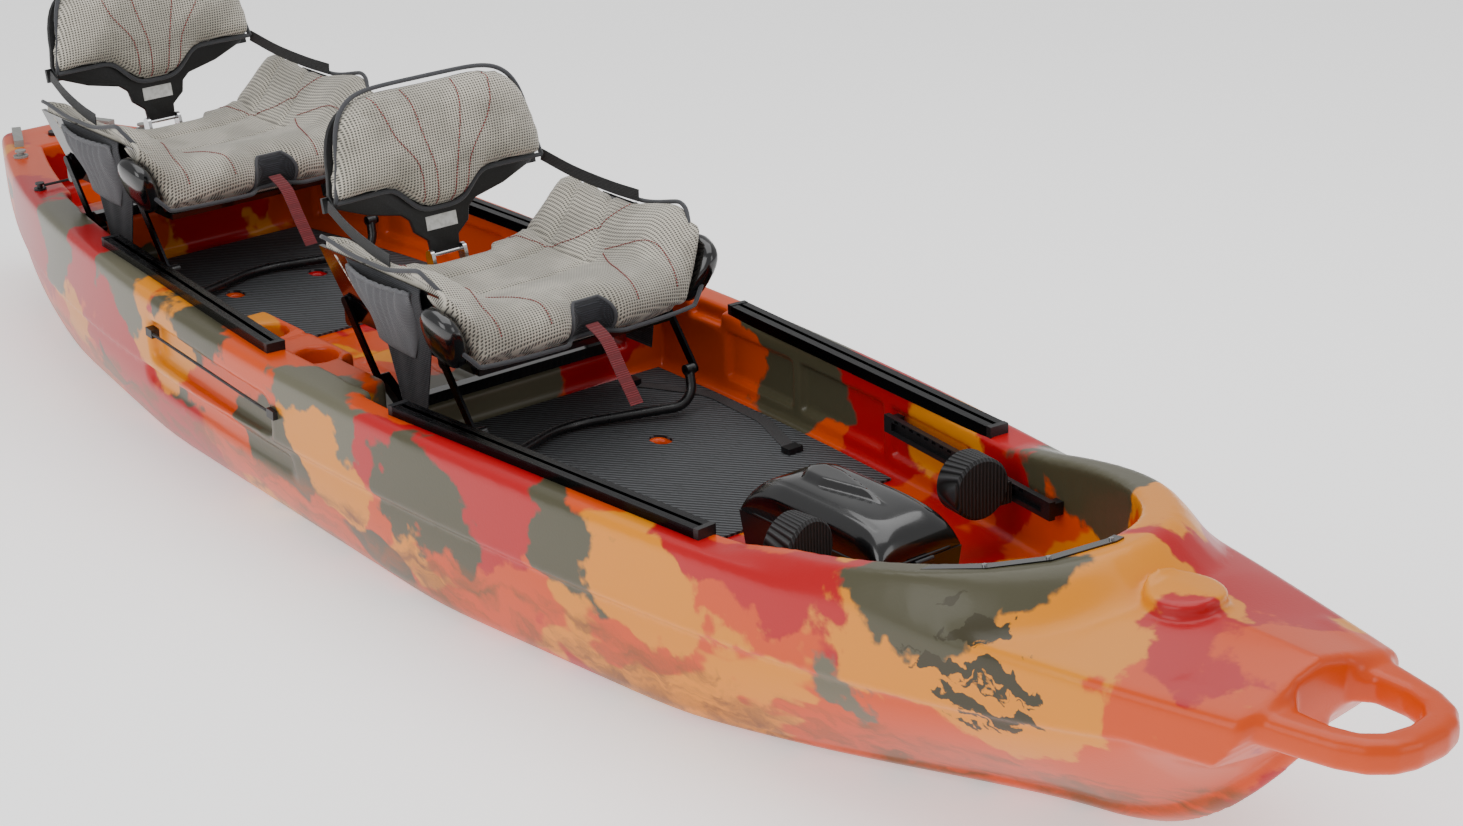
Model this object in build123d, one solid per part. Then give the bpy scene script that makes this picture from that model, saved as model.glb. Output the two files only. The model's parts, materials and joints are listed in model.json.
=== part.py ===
from build123d import *
import math
import os

os.makedirs("parts", exist_ok=True)

# Tandem sit-on-top fishing kayak, millimetres. X runs to the bow, Y to port, Z up.
# The origin is under the middle of the hull, on the ground that the keel rests on.

# ---- hull ----
LENGTH = 4320.0
BEAM = 920.0
WALL = 4.0
DECK_WALL = 11.0           # thicker moulding under the deck fittings
SHEER_Z = 372.0            # top of the gunwale amidships
SHEER_AFT_RISE = 24.0      # the gunwale swells up beside the rear seat
CHINE_Z = 215.0            # lower edge of the upper strake amidships
STRAKE_STEP = 12.0
TUNNEL_DEPTH = 14.0        # hollows between keel and side runners
GUNWALE = 85.0             # outer skin to cockpit wall
STEM_BACK = 215.0          # stem face, back from the tip of the carry loop
COCKPIT_BACK = 670.0       # front of the cockpit, back from the bow tip
DOME_BACK = 489.0
DOME_R = 62.0
DOME_H = 12.0
COAMING_W = 48.0
COAMING_RISE = 98.0        # height of the cockpit rim's front above the gunwale

# ---- cockpit floors and benches ----
FRONT_FLOOR_Z = 205.0
REAR_FLOOR_Z = 240.0
BENCH_Z = 268.0            # ledge under the front seat
REAR_BENCH_Z = 350.0       # ledge under the rear seat
CONSOLE_Z = 345.0          # shelves with the cup holders
CONSOLE_HALF = 250.0
BAY_HALF = 285.0           # bench beside the front seat's links
BAY_BACK = 170.0           # how far the bay runs back from the bench's front edge
TANK_FLOOR_Z = 255.0
BENCH_X = (-480.0, -130.0)
CONSOLE_X = (-640.0, -150.0)
REAR_BENCH_X = (-1530.0, -1385.0)
TANK_END = 210.0           # rear end of the tank well, from the stern tip
CUP_R = 44.0
CUP_DEPTH = 70.0
CUP_X = (-532.0, -345.0)
CUP_Y = 312.0
POCKET_X = (-790.0, -290.0)  # recess in the side for a paddle or a rod
POCKET_Z = (232.0, 318.0)
POCKET_DEPTH = 26.0
SCUPPER_R = 16.0
SCUPPER_FRONT = (199.0, 115.0)
SCUPPER_REAR = (-1026.0, 104.0)
SCUPPER_TANK = (-1800.0, 90.0)

# ---- bow loop ----
LOOP_Z = (322.0, 376.0)
LOOP_HALF_BACK = 196.0
LOOP_HALF_FRONT = 118.0

# ---- keel wheel ----
WHEEL_R = 62.0
WHEEL_W = 58.0
WHEEL_X = -1905.0
WHEEL_GAP = 6.0
AXLE_R = 6.0
AXLE_FIT = 0.05
HUB_R = 34.0

# ---- gear tracks ----
TRACK_W = 40.0
TRACK_H = 22.0
TRACK_SEAT = 4.0           # depth of the recess that each track sits in
TRACK_SLOT = 9.0
TRACK_SLOT_IN = 22.0
TRACK_FRONT_X = 97.0
TRACK_FRONT_BACK = 589.0   # front end of the front track, back from the cockpit front
TRACK_REAR_X = (-1093.0, -351.0)
CAP_L = 12.0
SCREW_R = 4.2
SCREW_SHANK_R = 2.4
SCREW_L = 12.0

# ---- mats ----
MAT_T = 5.0
MAT_GAP = 22.0             # mat edge to cockpit wall
MAT_FRONT_END = 850.0      # front end of the front mat, back from the cockpit front

# ---- foot braces ----
RAIL_BACK = (862.0, 360.0)  # ends of the rail, back from the cockpit front
RAIL_Z = 318.0
RAIL_H = 34.0
RAIL_T = 12.0
RAIL_STAND = 16.0
PEDAL_R = 57.0
PEDAL_T = 62.0
PEDAL_GAP = 3.0
PEDAL_AT = 0.73            # where the pedals stand, from the rail's rear end to its front
PEDAL_Z = 338.0

# ---- instrument pod ----
POD_BACK = (790.0, 420.0)
POD_HALF = 92.0
POD_TAPER = 14.0
POD_H = 78.0               # lower body
COVER_H = 86.0
POD_GAP = 1.0
POD_WALL = 4.0
POD_HINGE_R = 5.0

# ---- seats ----
SEAT_SHIFT = -1147.0       # rear seat, relative to the front seat
SEAT_RISE = 35.0
SEAT_SIDE_GAP = 30.0       # cockpit wall to the seat's link pivots, at the rear seat
LEG_FOOT = (125.0, 300.0)  # x and z of the front leg's lower pivot
LINK_V = (-105.0, 135.0)   # lower pivot to upper pivot, the same for both pairs of links
REAR_FOOT = (-200.0, 318.0)
TUBE_R = 10.0
LINK_T = 6.0
LINK_W = 18.0
PIN_R = 4.0
PIN_FIT = 0.05
PAN_Z = 402.0
PAN_T = 12.0
PAN_INSET = 18.0           # link pivots to the pan's side
PAN_X = (-330.0, 105.0)
CUSHION_T = 78.0
CUSHION_GAP = 0.5
BACK_PIVOT = (-335.0, 486.0)
BACK_LEAN = 11.0
BACK_H = 335.0
BACK_OVER = 2.0            # how much wider the backrest is than the link pivots
BACK_T = 9.0
NECK_HALF = 62.0
BACK_PAD_T = 52.0
BACK_PAD_BOTTOM = 120.0
STRAP_T = 2.0
STRAP_W = 26.0
CORD_R = 3.0
PLUG_R = 14.0


def half_beam(x):
    """Half width of the hull at its sheer."""
    u = x / (LENGTH / 2) + 0.05
    drop = 0.677 * u ** 1.96 if u > 0 else 0.933 * (-u) ** 2.64
    return BEAM / 2 * (1 - drop)


def sheer(x):
    """Height of the gunwale."""
    return SHEER_Z + SHEER_AFT_RISE * math.exp(-(((x + 1150) / 560) ** 2))


def crown(x):
    """Rise of the foredeck's middle above the gunwale."""
    return 46 * max(0.0, min(1.0, (x - COCKPIT_FRONT + 560) / 700))


def keel(x):
    """Height of the keel line: flat amidships, with a raked stem and stern."""
    bow = max(0.0, x - (LENGTH / 2 - 600)) / 375
    stern = max(0.0, -(LENGTH / 2 - 560) - x) / 520
    return 250 * bow ** 2.1 + 215 * stern ** 2.2


def inner(x):
    """Half width of the cockpit."""
    return half_beam(x) - GUNWALE


BOW = LENGTH / 2
STERN = -LENGTH / 2
COCKPIT_FRONT = BOW - COCKPIT_BACK
STEM_X = BOW - STEM_BACK
TANK_X = (STERN + TANK_END, REAR_BENCH_X[0] - 10)
LEG_Y = inner(REAR_FOOT[0] + SEAT_SHIFT) - SEAT_SIDE_GAP
PAN_HALF = LEG_Y - PAN_INSET
BACK_HALF = LEG_Y + BACK_OVER

nodes = {}


def section(x, inset=0.0, top=0.0):
    """One closed cross-section of the hull, shrunk by inset, with its deck lowered by top."""
    b = half_beam(x) - inset
    k = keel(x) + inset
    s = sheer(x) - top
    fine = max(0.0, min(1.0, (x - BOW + 1300) / 900))
    c = b * (0.9 - 0.72 * fine ** 1.3)
    aft = max(0.0, min(1.0, (STERN + 560 - x) / 500))
    c = c * (1 - 0.3 * aft)
    chine = CHINE_Z + (s - CHINE_Z) * 0.62 * max(fine, aft) ** 2
    t = TUNNEL_DEPTH * (1 - fine)
    rise = 30 + 40 * fine
    mid = c * 0.5
    half = [(0.2 * c, k), (0.34 * c, k + t), (0.6 * c, k + t), (0.74 * c, k + 2), (0.92 * c, k + 7)]
    half += [(c, k + rise), ((b + mid) / 2 + b * 0.22 + 2, (chine + k + rise) / 2), (b - 14, chine - 4)]
    half += [(b - 2, chine + STRAKE_STEP), (b, s - 28), (b - 10, s - 5), (b - 30, s)]
    half += [(0.45 * b, s + 0.8 * crown(x))]
    right = [(y, z) for y, z in half]
    left = [(-y, z) for y, z in reversed(half)]
    plane = Plane(origin=(x, 0, 0), x_dir=(0, 1, 0), z_dir=(1, 0, 0))
    return plane * make_face(Polyline([*right, (0, s + crown(x)), *left], close=True))


def prism(points, z0, z1):
    """A vertical prism over a plan outline."""
    face = make_face(Polyline(points, close=True))
    return extrude(Pos(0, 0, z0) * face, z1 - z0)


def plan(x0, x1, grow=0.0, steps=4):
    """Outline of a well whose sides follow the gunwale."""
    xs = [x0 + (x1 - x0) * i / steps for i in range(steps + 1)]
    port = [(x, inner(x) + grow) for x in xs]
    return port + [(x, -y) for x, y in reversed(port)]


def front_plan(grow=0.0):
    """Outline of the front footwell, with its rounded bow end."""
    xs = [BENCH_X[1] - grow + i * (COCKPIT_FRONT - 360 - BENCH_X[1] + grow) / 5 for i in range(6)]
    port = [(x, inner(x) + grow) for x in xs]
    end = inner(xs[-1]) + grow
    reach = 360 + grow
    for step in range(1, 5):
        a = math.radians(step * 90 / 5)
        port.append((xs[-1] + reach * math.sin(a) ** 1.15, end * math.cos(a) ** 0.8))
    return port + [(COCKPIT_FRONT + grow, 0)] + [(x, -y) for x, y in reversed(port)]


def wells(grow=0.0):
    """Everything that is moulded down into the deck; grow is the wall round it."""
    top = 600.0
    found = prism(front_plan(grow), FRONT_FLOOR_Z - grow, top)
    found += prism(plan(BENCH_X[0] - grow, BENCH_X[1] + 40, grow), CONSOLE_Z - grow, top)
    half = CONSOLE_HALF + grow
    x0, x1 = BENCH_X[0] - grow, BENCH_X[1] + 40
    found += prism([(x0, half), (x1, half), (x1, -half), (x0, -half)], BENCH_Z - grow, top)
    bay = BAY_HALF + grow
    x0 = BENCH_X[1] - BAY_BACK - grow
    found += prism([(x0, bay), (x1, bay), (x1, -bay), (x0, -bay)], BENCH_Z - grow, top)
    found += prism(plan(REAR_BENCH_X[1] - grow, CONSOLE_X[0] + grow, grow), REAR_FLOOR_Z - grow, top)
    x0, x1 = CONSOLE_X[0] - 20, BENCH_X[0] + grow
    found += prism([(x0, half), (x1, half), (x1, -half), (x0, -half)], REAR_FLOOR_Z - grow, top)
    found += prism(plan(CONSOLE_X[0] - 20, BENCH_X[0] + 20, grow), CONSOLE_Z - grow, top)
    found += prism(plan(REAR_BENCH_X[0] - grow, REAR_BENCH_X[1] + 20, grow), REAR_BENCH_Z - grow, top)
    found += prism(plan(TANK_X[0] - grow, TANK_X[1] + 12 + grow, grow - 15), TANK_FLOOR_Z - grow, top)
    for side in (1, -1):
        y0 = half_beam(POCKET_X[0]) - POCKET_DEPTH - grow
        y = side * (y0 + 100)
        box = Box(POCKET_X[1] - POCKET_X[0] + 2 * grow, 200, POCKET_Z[1] - POCKET_Z[0] + 2 * grow)
        found += Pos(sum(POCKET_X) / 2, y, sum(POCKET_Z) / 2) * box
    for x in CUP_X:
        z = CONSOLE_Z - CUP_DEPTH - grow
        found += Pos(x, -CUP_Y, z + 100) * Cylinder(CUP_R + grow, 200)
    return found


def scuppers(grow=0.0):
    """The drain tubes that run from the floors to the hull's bottom."""
    found = Part()
    for x, y in (SCUPPER_FRONT, SCUPPER_REAR, SCUPPER_TANK):
        for side in (1, -1):
            found += Pos(x, side * y, 150) * Cylinder(SCUPPER_R + grow, 340)
    return found


def wheel_well(grow=0.0):
    """The slot in the keel for the rear wheel."""
    size = WHEEL_R + WHEEL_GAP + grow
    drum = Pos(WHEEL_X, 0, WHEEL_Z) * Rot(90, 0, 0) * Cylinder(size, WHEEL_W + 2 * (WHEEL_GAP + grow))
    skirt = Pos(WHEEL_X, 0, WHEEL_Z - 100) * Box(2 * size, WHEEL_W + 2 * (WHEEL_GAP + grow), 200)
    return drum + skirt


def track_line(which):
    """Start, end and both heights of a gear track's centre line on the port gunwale."""
    x0, x1 = (TRACK_FRONT_X, COCKPIT_FRONT - TRACK_FRONT_BACK) if which == "front" else TRACK_REAR_X
    off = GUNWALE - TRACK_W / 2 - 6
    return (x0, half_beam(x0) - off, sheer(x0)), (x1, half_beam(x1) - off, sheer(x1))


def along(start, end, shape):
    """Puts a shape whose length runs along +X from its origin onto the line start to end."""
    d = Vector(*end) - Vector(*start)
    x_dir = d.normalized()
    y_dir = Vector(0, 0, 1).cross(x_dir).normalized()
    return Plane(origin=start, x_dir=x_dir, z_dir=x_dir.cross(y_dir)) * shape


def length_of(line):
    """Length of a line given by its two ends."""
    return (Vector(*line[1]) - Vector(*line[0])).length


def bar(x0, x1, y0, y1, z0, z1):
    """A box from its limits."""
    return Pos((x0 + x1) / 2, (y0 + y1) / 2, (z0 + z1) / 2) * Box(x1 - x0, y1 - y0, z1 - z0)


def tube(points, radius, bends):
    """A round bar along straight runs that are joined by tangent arcs."""
    path = FilletPolyline(*points, radius=bends) if len(points) > 2 else Polyline(*points)
    start = path @ 0
    return sweep(Plane(origin=start, z_dir=path % 0) * Circle(radius), path=path)


def pin_y(x, z, y0, y1, radius):
    """A round pin across the boat."""
    return Pos(x, (y0 + y1) / 2, z) * Rot(90, 0, 0) * Cylinder(radius, abs(y1 - y0))


def both(shape):
    """A starboard or port shape with its mirror image."""
    return [shape, mirror(shape, Plane.XZ)]


def group(shapes):
    """Several separate solids as one compound."""
    return Compound(children=[s for shape in shapes for s in shape.solids()])


# ---- hull: one rotomoulded hollow shell ----
WHEEL_Z = WHEEL_R + 4
LOFT_X = [STERN, STERN + 160, STERN + 340, STERN + 520, STERN + 700, STERN + 1050, -500, 200, 850]
LOFT_X += [COCKPIT_FRONT - 220, COCKPIT_FRONT + 20, BOW - 520, BOW - 380, STEM_X]
ground = bar(STERN - 50, BOW + 50, -BEAM, BEAM, -100, 0)
outer = loft([section(x) for x in LOFT_X]) - ground
inner_x = [STERN + WALL + 25, *LOFT_X[1:-1], STEM_X - WALL]
inside = loft([section(x, WALL, DECK_WALL) for x in inner_x]) - Pos(0, 0, WALL) * ground

rim_plan = front_plan(COAMING_W)
rim_x0 = COCKPIT_FRONT - 520
ring = prism(rim_plan, SHEER_Z - 30, SHEER_Z + 140) - prism(front_plan(), 0, 700)
rim_top = [(rim_x0, SHEER_Z - 2), (COCKPIT_FRONT + 68, SHEER_Z + COAMING_RISE)]


def rim_band(low, high):
    """A slab between two offsets from the sloping top of the cockpit rim."""
    line = [(x, z + high) for x, z in rim_top] + [(x, z + low) for x, z in reversed(rim_top)]
    return extrude(Plane.XZ * make_face(Polyline(line, close=True)), 500, both=True)


wedge_line = [(rim_x0, SHEER_Z - 40), *rim_top, (COCKPIT_FRONT + 68, SHEER_Z - 40)]
wedge = extrude(Plane.XZ * make_face(Polyline(wedge_line, close=True)), 500, both=True)
coaming = ring & wedge

loop_plan = [(STEM_X - 120, LOOP_HALF_BACK - 6), (BOW - 95, LOOP_HALF_FRONT + 6)]
loop_plan += [(BOW - 22, LOOP_HALF_FRONT - 44), (BOW, LOOP_HALF_FRONT - 78)]
loop_plan += [(x, -y) for x, y in reversed(loop_plan)]
loop = prism(loop_plan, *LOOP_Z)
hole_plan = [(STEM_X + 12, 34), (STEM_X + 60, 92), (BOW - 78, 78), (BOW - 52, 46)]
hole_plan += [(x, -y) for x, y in reversed(hole_plan)]
loop_hole = prism(hole_plan, 200, 600)

hull = outer + coaming + loop
hull += Pos(BOW - DOME_BACK, 0, SHEER_Z + 32) * Cylinder(DOME_R, 2 * DOME_H)
hull = hull - loop_hole - wells() - scuppers() - wheel_well()
hollow = inside - wells(WALL) - scuppers(WALL) - wheel_well(WALL)
hull -= hollow

# ---- gear tracks, their end caps and screws ----
caps, screws, track_seats = [], [], []


def track_profile(length):
    """An aluminium extrusion with a T-slot, along +X."""
    body = bar(0, length, -TRACK_W / 2, TRACK_W / 2, 0, TRACK_H)
    body -= bar(-1, length + 1, -TRACK_SLOT / 2, TRACK_SLOT / 2, 6, TRACK_H + 1)
    body -= bar(-1, length + 1, -TRACK_SLOT_IN / 2, TRACK_SLOT_IN / 2, 6, 14)
    for i in range(4):
        body -= Pos(length * (i + 0.5) / 4, 0, 3) * Cylinder(SCREW_SHANK_R + 0.1, 10)
    return body


for which in ("front", "rear"):
    line = track_line(which)
    size = length_of(line)
    seat = bar(-CAP_L, size + CAP_L, -TRACK_W / 2, TRACK_W / 2, 0, 60)
    track = track_profile(size)
    cap = bar(-CAP_L, 0, -TRACK_W / 2, TRACK_W / 2, 0, TRACK_H + 1)
    cap += Pos(size + CAP_L, 0, 0) * cap
    low = Pos(0, 0, -TRACK_SEAT)
    for side, name in ((1, "left"), (-1, "right")):
        shapes = [along(*line, low * shape) for shape in (track, cap, seat)]
        if side == -1:
            shapes = [mirror(shape, Plane.XZ) for shape in shapes]
        nodes[f"gear_track_{which}_{name}"] = shapes[0]
        caps.append(shapes[1])
        track_seats.append(shapes[2])
        for i in range(4):
            at = size * (i + 0.5) / 4
            head = Pos(at, 0, 6 + 1.5) * Cylinder(SCREW_R, 3)
            shank = Pos(at, 0, 6 - SCREW_L / 2) * Cylinder(SCREW_SHANK_R, SCREW_L)
            screw = along(*line, low * (head + shank))
            screws.append(screw if side == 1 else mirror(screw, Plane.XZ))
nodes["track_end_caps"] = group(caps)
for seat in track_seats:
    hull -= seat

# ---- foot braces ----
RAIL_X = (COCKPIT_FRONT - RAIL_BACK[0], COCKPIT_FRONT - RAIL_BACK[1])
rail_line = tuple((x, inner(x) - RAIL_STAND - RAIL_T / 2, RAIL_Z) for x in RAIL_X)
rail_len = length_of(rail_line)
rail = bar(0, rail_len, -RAIL_T / 2, RAIL_T / 2, -RAIL_H / 2, RAIL_H / 2)
rail -= bar(24, rail_len - 24, -RAIL_T / 2 - 1, 2, -8, 8)
teeth = int((rail_len - 80) // 24)
for i in range(teeth):
    rail -= Pos(40 + 24 * i, 0, 12) * Box(12, RAIL_T + 2, 5)
feet = [bar(2, 22, RAIL_T / 2 - 1, RAIL_T / 2 + RAIL_STAND + 3, -12, 12)]
feet.append(bar(rail_len - 22, rail_len - 2, RAIL_T / 2 - 1, RAIL_T / 2 + RAIL_STAND + 3, -12, 12))
rail = rail + feet[0] + feet[1]
left_rail = along(*rail_line, rail)
foot_cut = [along(*rail_line, foot) for foot in feet]
for foot in foot_cut:
    hull -= foot
    hull -= mirror(foot, Plane.XZ)
nodes["foot_rail_left"] = left_rail
nodes["foot_rail_right"] = mirror(left_rail, Plane.XZ)

pedal_at = rail_len * PEDAL_AT
pedal_y = -(RAIL_T / 2 + PEDAL_GAP + PEDAL_R + 4)
drum = Pos(pedal_at, pedal_y, PEDAL_Z - RAIL_Z) * Rot(0, 90, 0) * Cylinder(PEDAL_R, PEDAL_T)
drum = chamfer(drum.edges().filter_by(GeomType.CIRCLE), 5)
carriage = bar(pedal_at - 28, pedal_at + 28, pedal_y + 20, -RAIL_T / 2 - 0.3, -20, 20)
tongue = bar(pedal_at - 20, pedal_at + 20, -RAIL_T / 2 - 1, 1.7, -7.7, 7.7)
left_pedal = along(*rail_line, drum + carriage + tongue)
nodes["foot_pedal_left"] = left_pedal
nodes["foot_pedal_right"] = mirror(left_pedal, Plane.XZ)

# ---- floor mats ----
MAT_X1 = COCKPIT_FRONT - MAT_FRONT_END
mat = prism(plan(BENCH_X[1] + 12, MAT_X1, -MAT_GAP), FRONT_FLOOR_Z, FRONT_FLOOR_Z + MAT_T)
rear_plan = plan(REAR_BENCH_X[1] + 40, CONSOLE_X[0] - 40, -MAT_GAP)
rear_mat = prism(rear_plan, REAR_FLOOR_Z, REAR_FLOOR_Z + MAT_T)
hole = extrude(Pos(0, 0, 100) * SlotOverall(52, 38), 300)
for side in (1, -1):
    mat -= Pos(SCUPPER_FRONT[0], side * SCUPPER_FRONT[1], 0) * hole
    rear_mat -= Pos(SCUPPER_REAR[0], side * SCUPPER_REAR[1], 0) * hole
nodes["floor_mat_front"] = mat
nodes["floor_mat_rear"] = rear_mat
pad_y = 3 - CONSOLE_HALF
pad = bar(BENCH_X[0] + 10, BENCH_X[0] + 140, pad_y, pad_y + 36, BENCH_Z, BENCH_Z + MAT_T)
nodes["console_pad"] = pad

# ---- instrument pod ----
POD_X = (COCKPIT_FRONT - POD_BACK[0], COCKPIT_FRONT - POD_BACK[1])
POD_Z = FRONT_FLOOR_Z + POD_GAP
pod_mid = sum(POD_X) / 2


def pod_block(x0, x1, half, z0, z1, draft):
    """A block whose top is drawn in by draft on every side."""
    base = Pos((x0 + x1) / 2, 0, z0) * Rectangle(x1 - x0, 2 * half)
    roof = Pos((x0 + x1) / 2, 0, z1) * Rectangle(x1 - x0 - 2 * draft, 2 * (half - draft))
    return loft([base, roof])


split = POD_Z + POD_H
box_x = (POD_X[0] + 6, POD_X[1] - 6)
box_half = POD_HALF - 8
base_block = pod_block(*box_x, box_half, POD_Z, split, -8)
room_x = (box_x[0] + POD_WALL, box_x[1] - POD_WALL)
base = base_block - pod_block(*room_x, box_half - POD_WALL, POD_Z + POD_WALL, split + 1, -8)
cover = pod_block(*POD_X, POD_HALF, split + 0.4, split + COVER_H, POD_TAPER)
room_x = (POD_X[0] + POD_WALL, POD_X[1] - POD_WALL)
cover -= pod_block(*room_x, POD_HALF - POD_WALL, split, split + COVER_H - POD_WALL, POD_TAPER)
hinge_x, hinge_z = POD_X[1] + POD_HINGE_R + 3, split
knuckle = Rot(90, 0, 0) * Cylinder(POD_HINGE_R, 40)
eye = Pos(hinge_x, 0, hinge_z)
base += eye * knuckle + bar(POD_X[1] - 6, hinge_x, -20, 20, split - 9, split - 4)
base += bar(hinge_x - 3, hinge_x + 3, -20, 20, split - 9, split)
bore = eye * Rot(90, 0, 0) * Cylinder(2.5 + PIN_FIT, 200)
base -= bore
for y in (-32, 32):
    cover += Pos(hinge_x, y, hinge_z) * Rot(90, 0, 0) * Cylinder(POD_HINGE_R, 22)
    cover += bar(POD_X[1] - 5, hinge_x, y - 11, y + 11, split + 1, split + 5)
cover += eye * Rot(90, 0, 0) * Cylinder(2.5, 86)
nodes["pod_base"] = base
nodes["pod_cover"] = cover
latch = bar(pod_mid - 14, pod_mid + 14, POD_HALF + 0.5, POD_HALF + 9, split - 26, split + 22)
latch += bar(pod_mid - 14, pod_mid + 14, POD_HALF - 6, POD_HALF + 1, split - 26, split - 16)
latch -= base_block
nodes["pod_latches"] = group(both(latch))
knob_x = POD_X[0] - 40
knob = Pos(knob_x, 0, FRONT_FLOOR_Z + MAT_T + 16) * Cylinder(22, 30)
knob += bar(knob_x + 10, POD_X[0] + 4, -5, 5, FRONT_FLOOR_Z + MAT_T + 14, FRONT_FLOOR_Z + MAT_T + 22)
nodes["pod_toggle"] = knob - base_block

# ---- bow trim, stern fittings and held cords ----
trim_from = COCKPIT_FRONT - 140
strip = prism(front_plan(COAMING_W - 14), 0, 700) - prism(front_plan(12), 0, 700)
strip &= bar(trim_from, BOW, -400, 20, 0, 700)
nodes["bow_trim_plate"] = strip & rim_band(-1, 4)
hull -= strip & rim_band(-1, 60)
rim_slope = math.degrees(math.atan2(rim_top[1][1] - rim_top[0][1], rim_top[1][0] - rim_top[0][0]))
rim_mid = [p for p in front_plan(COAMING_W / 2 - 1) if p[1] < 20 and p[0] > trim_from + 30]
for x, y in rim_mid[:3]:
    z = rim_top[0][1] + (x - rim_top[0][0]) * math.tan(math.radians(rim_slope))
    screw = Pos(0, 0, 5.5) * Cylinder(SCREW_R, 3)
    screw += Pos(0, 0, 4 - SCREW_L / 2) * Cylinder(SCREW_SHANK_R, SCREW_L)
    placed = Pos(x, y, z) * Rot(0, -rim_slope, 0)
    screws.append(placed * screw)
    nodes["bow_trim_plate"] -= placed * Cylinder(SCREW_SHANK_R + 0.1, 30)
nodes["deck_screws"] = group(screws)

# ---- keel wheel ----
on_axle = Pos(WHEEL_X, 0, WHEEL_Z) * Rot(90, 0, 0)
tyre = on_axle * (Cylinder(WHEEL_R, WHEEL_W) - Cylinder(HUB_R, WHEEL_W + 2))
hub = on_axle * (Cylinder(HUB_R, WHEEL_W) - Cylinder(AXLE_R + AXLE_FIT, WHEEL_W + 2))
boss_y = (WHEEL_W / 2 + WHEEL_GAP, WHEEL_W / 2 + 34)
axle = pin_y(WHEEL_X, WHEEL_Z, -WHEEL_W / 2 - 30, WHEEL_W / 2 + 30, AXLE_R)
for side in (1, -1):
    boss = bar(WHEEL_X - 16, WHEEL_X + 16, *boss_y, WHEEL_Z - 16, WHEEL_Z + 16)
    hull += boss if side == 1 else mirror(boss, Plane.XZ)
hull -= axle
nodes["keel_wheel_tyre"] = tyre
nodes["keel_wheel_hub"] = hub
nodes["keel_wheel_axle"] = axle

# ---- stern fittings, held cords and the floor strap ----
def deck_line(x0, x1, off):
    """A line on the port gunwale, off inside its edge."""
    return tuple((x, half_beam(x) - off, sheer(x)) for x in (x0, x1))


grip_line = deck_line(STERN + 62, STERN + 178, 42)
grip_len = length_of(grip_line)
grip_seat = along(*grip_line, bar(0, grip_len, -13, 13, -3, 40))
grip = bar(0, grip_len, -11, 11, 9, 16)
grip += bar(0, 18, -11, 11, -3, 16) + bar(grip_len - 18, grip_len, -11, 11, -3, 16)
nodes["stern_grips"] = group(both(along(*grip_line, grip)))

cleat_x, tie_x = TANK_X[0] + 52, TANK_X[1] - 62
cleat_y, tie_y = half_beam(cleat_x) - 38, half_beam(tie_x) - 38


def deck_button(x, y, radius):
    """A round fitting with a waist that a bungee hooks round, and its flat seat in the deck."""
    z = sheer(x) - 3
    button = Pos(x, y, z + 4) * Cylinder(radius, 8) + Pos(x, y, z + 12) * Cylinder(radius * 0.45, 10)
    button += Pos(x, y, z + 18) * Cylinder(radius * 0.75, 4)
    return button, Pos(x, y, z + 25) * Cylinder(radius + 0.5, 50)


cleat, cleat_seat = deck_button(cleat_x, cleat_y, 17)
tie, tie_seat = deck_button(tie_x, tie_y, 14)
nodes["stern_cleats"] = group(both(cleat))
nodes["bungee_ties"] = group(both(tie))
for seat in (grip_seat, cleat_seat, tie_seat):
    hull -= seat
    hull -= mirror(seat, Plane.XZ)
lift = 9.3
waist = 0.45 * 14 + CORD_R + 0.2
rear_span = [(tie_x + 2, side * (tie_y - waist), sheer(tie_x) + lift) for side in (1, -1)]
nodes["tank_bungee"] = tube(rear_span, CORD_R, [])

side_x = (POCKET_X[0] + 24, POCKET_X[1] + 22)
side_z = (POCKET_Z[1] - 8, POCKET_Z[0] + 52)
side_line = tuple((x, half_beam(x) + 4.5, z) for x, z in zip(side_x, side_z))
side_len = length_of(side_line)
anchor = bar(-16, 10, -14, 4, -9, 9)
anchors = [along(*side_line, anchor), along(*side_line, Pos(side_len + 6, 0, 0) * anchor)]
side_cord = along(*side_line, Pos(side_len / 2, 0, 0) * Rot(0, 90, 0) * Cylinder(CORD_R, side_len + 4))
anchor_group = both(anchors[0]) + both(anchors[1])
for shape in anchor_group:
    hull -= shape
cords = side_cord + mirror(side_cord, Plane.XZ)
nodes["side_bungee_anchors"] = group([anchor - cords for anchor in anchor_group])
nodes["side_bungees"] = group(both(side_cord))

strap_z = FRONT_FLOOR_Z + MAT_T
strap_run = [(BENCH_X[1] + 70, 262, strap_z), (70, 335, strap_z), (262, 322, strap_z), (405, 268, strap_z)]
strap_path = FilletPolyline(*[Vector(*p) + Vector(0, 0, STRAP_T / 2) for p in strap_run], radius=140)
strap_start = Plane(origin=strap_path @ 0, x_dir=(0, 0, 1), z_dir=strap_path % 0)
nodes["floor_strap"] = sweep(strap_start * Rectangle(STRAP_T, STRAP_W), path=strap_path)
clips = []
for (x, y, z), dx, dy in ((strap_run[0], -14, -12), (strap_run[-1], 13, -7)):
    clips.append(Pos(x + dx, y + dy, z + 6) * Box(24, 34, 12))
clips = [clip - nodes["floor_strap"] for clip in clips]
nodes["floor_strap_clips"] = group(clips)


# ---- seats: two alike, each on its own swinging links ----
def strut(p, q, width, y0, y1):
    """A flat link between two points of the side view, with round ends."""
    d = Vector(q[0] - p[0], 0, q[1] - p[1])
    a = math.degrees(math.atan2(d.Z, d.X))
    mid = ((p[0] + q[0]) / 2, (y0 + y1) / 2, (p[1] + q[1]) / 2)
    plate = extrude(SlotCenterToCenter(d.length, width), (y1 - y0) / 2, both=True)
    return Pos(*mid) * Rot(0, -a, 0) * Rot(90, 0, 0) * plate


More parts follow.
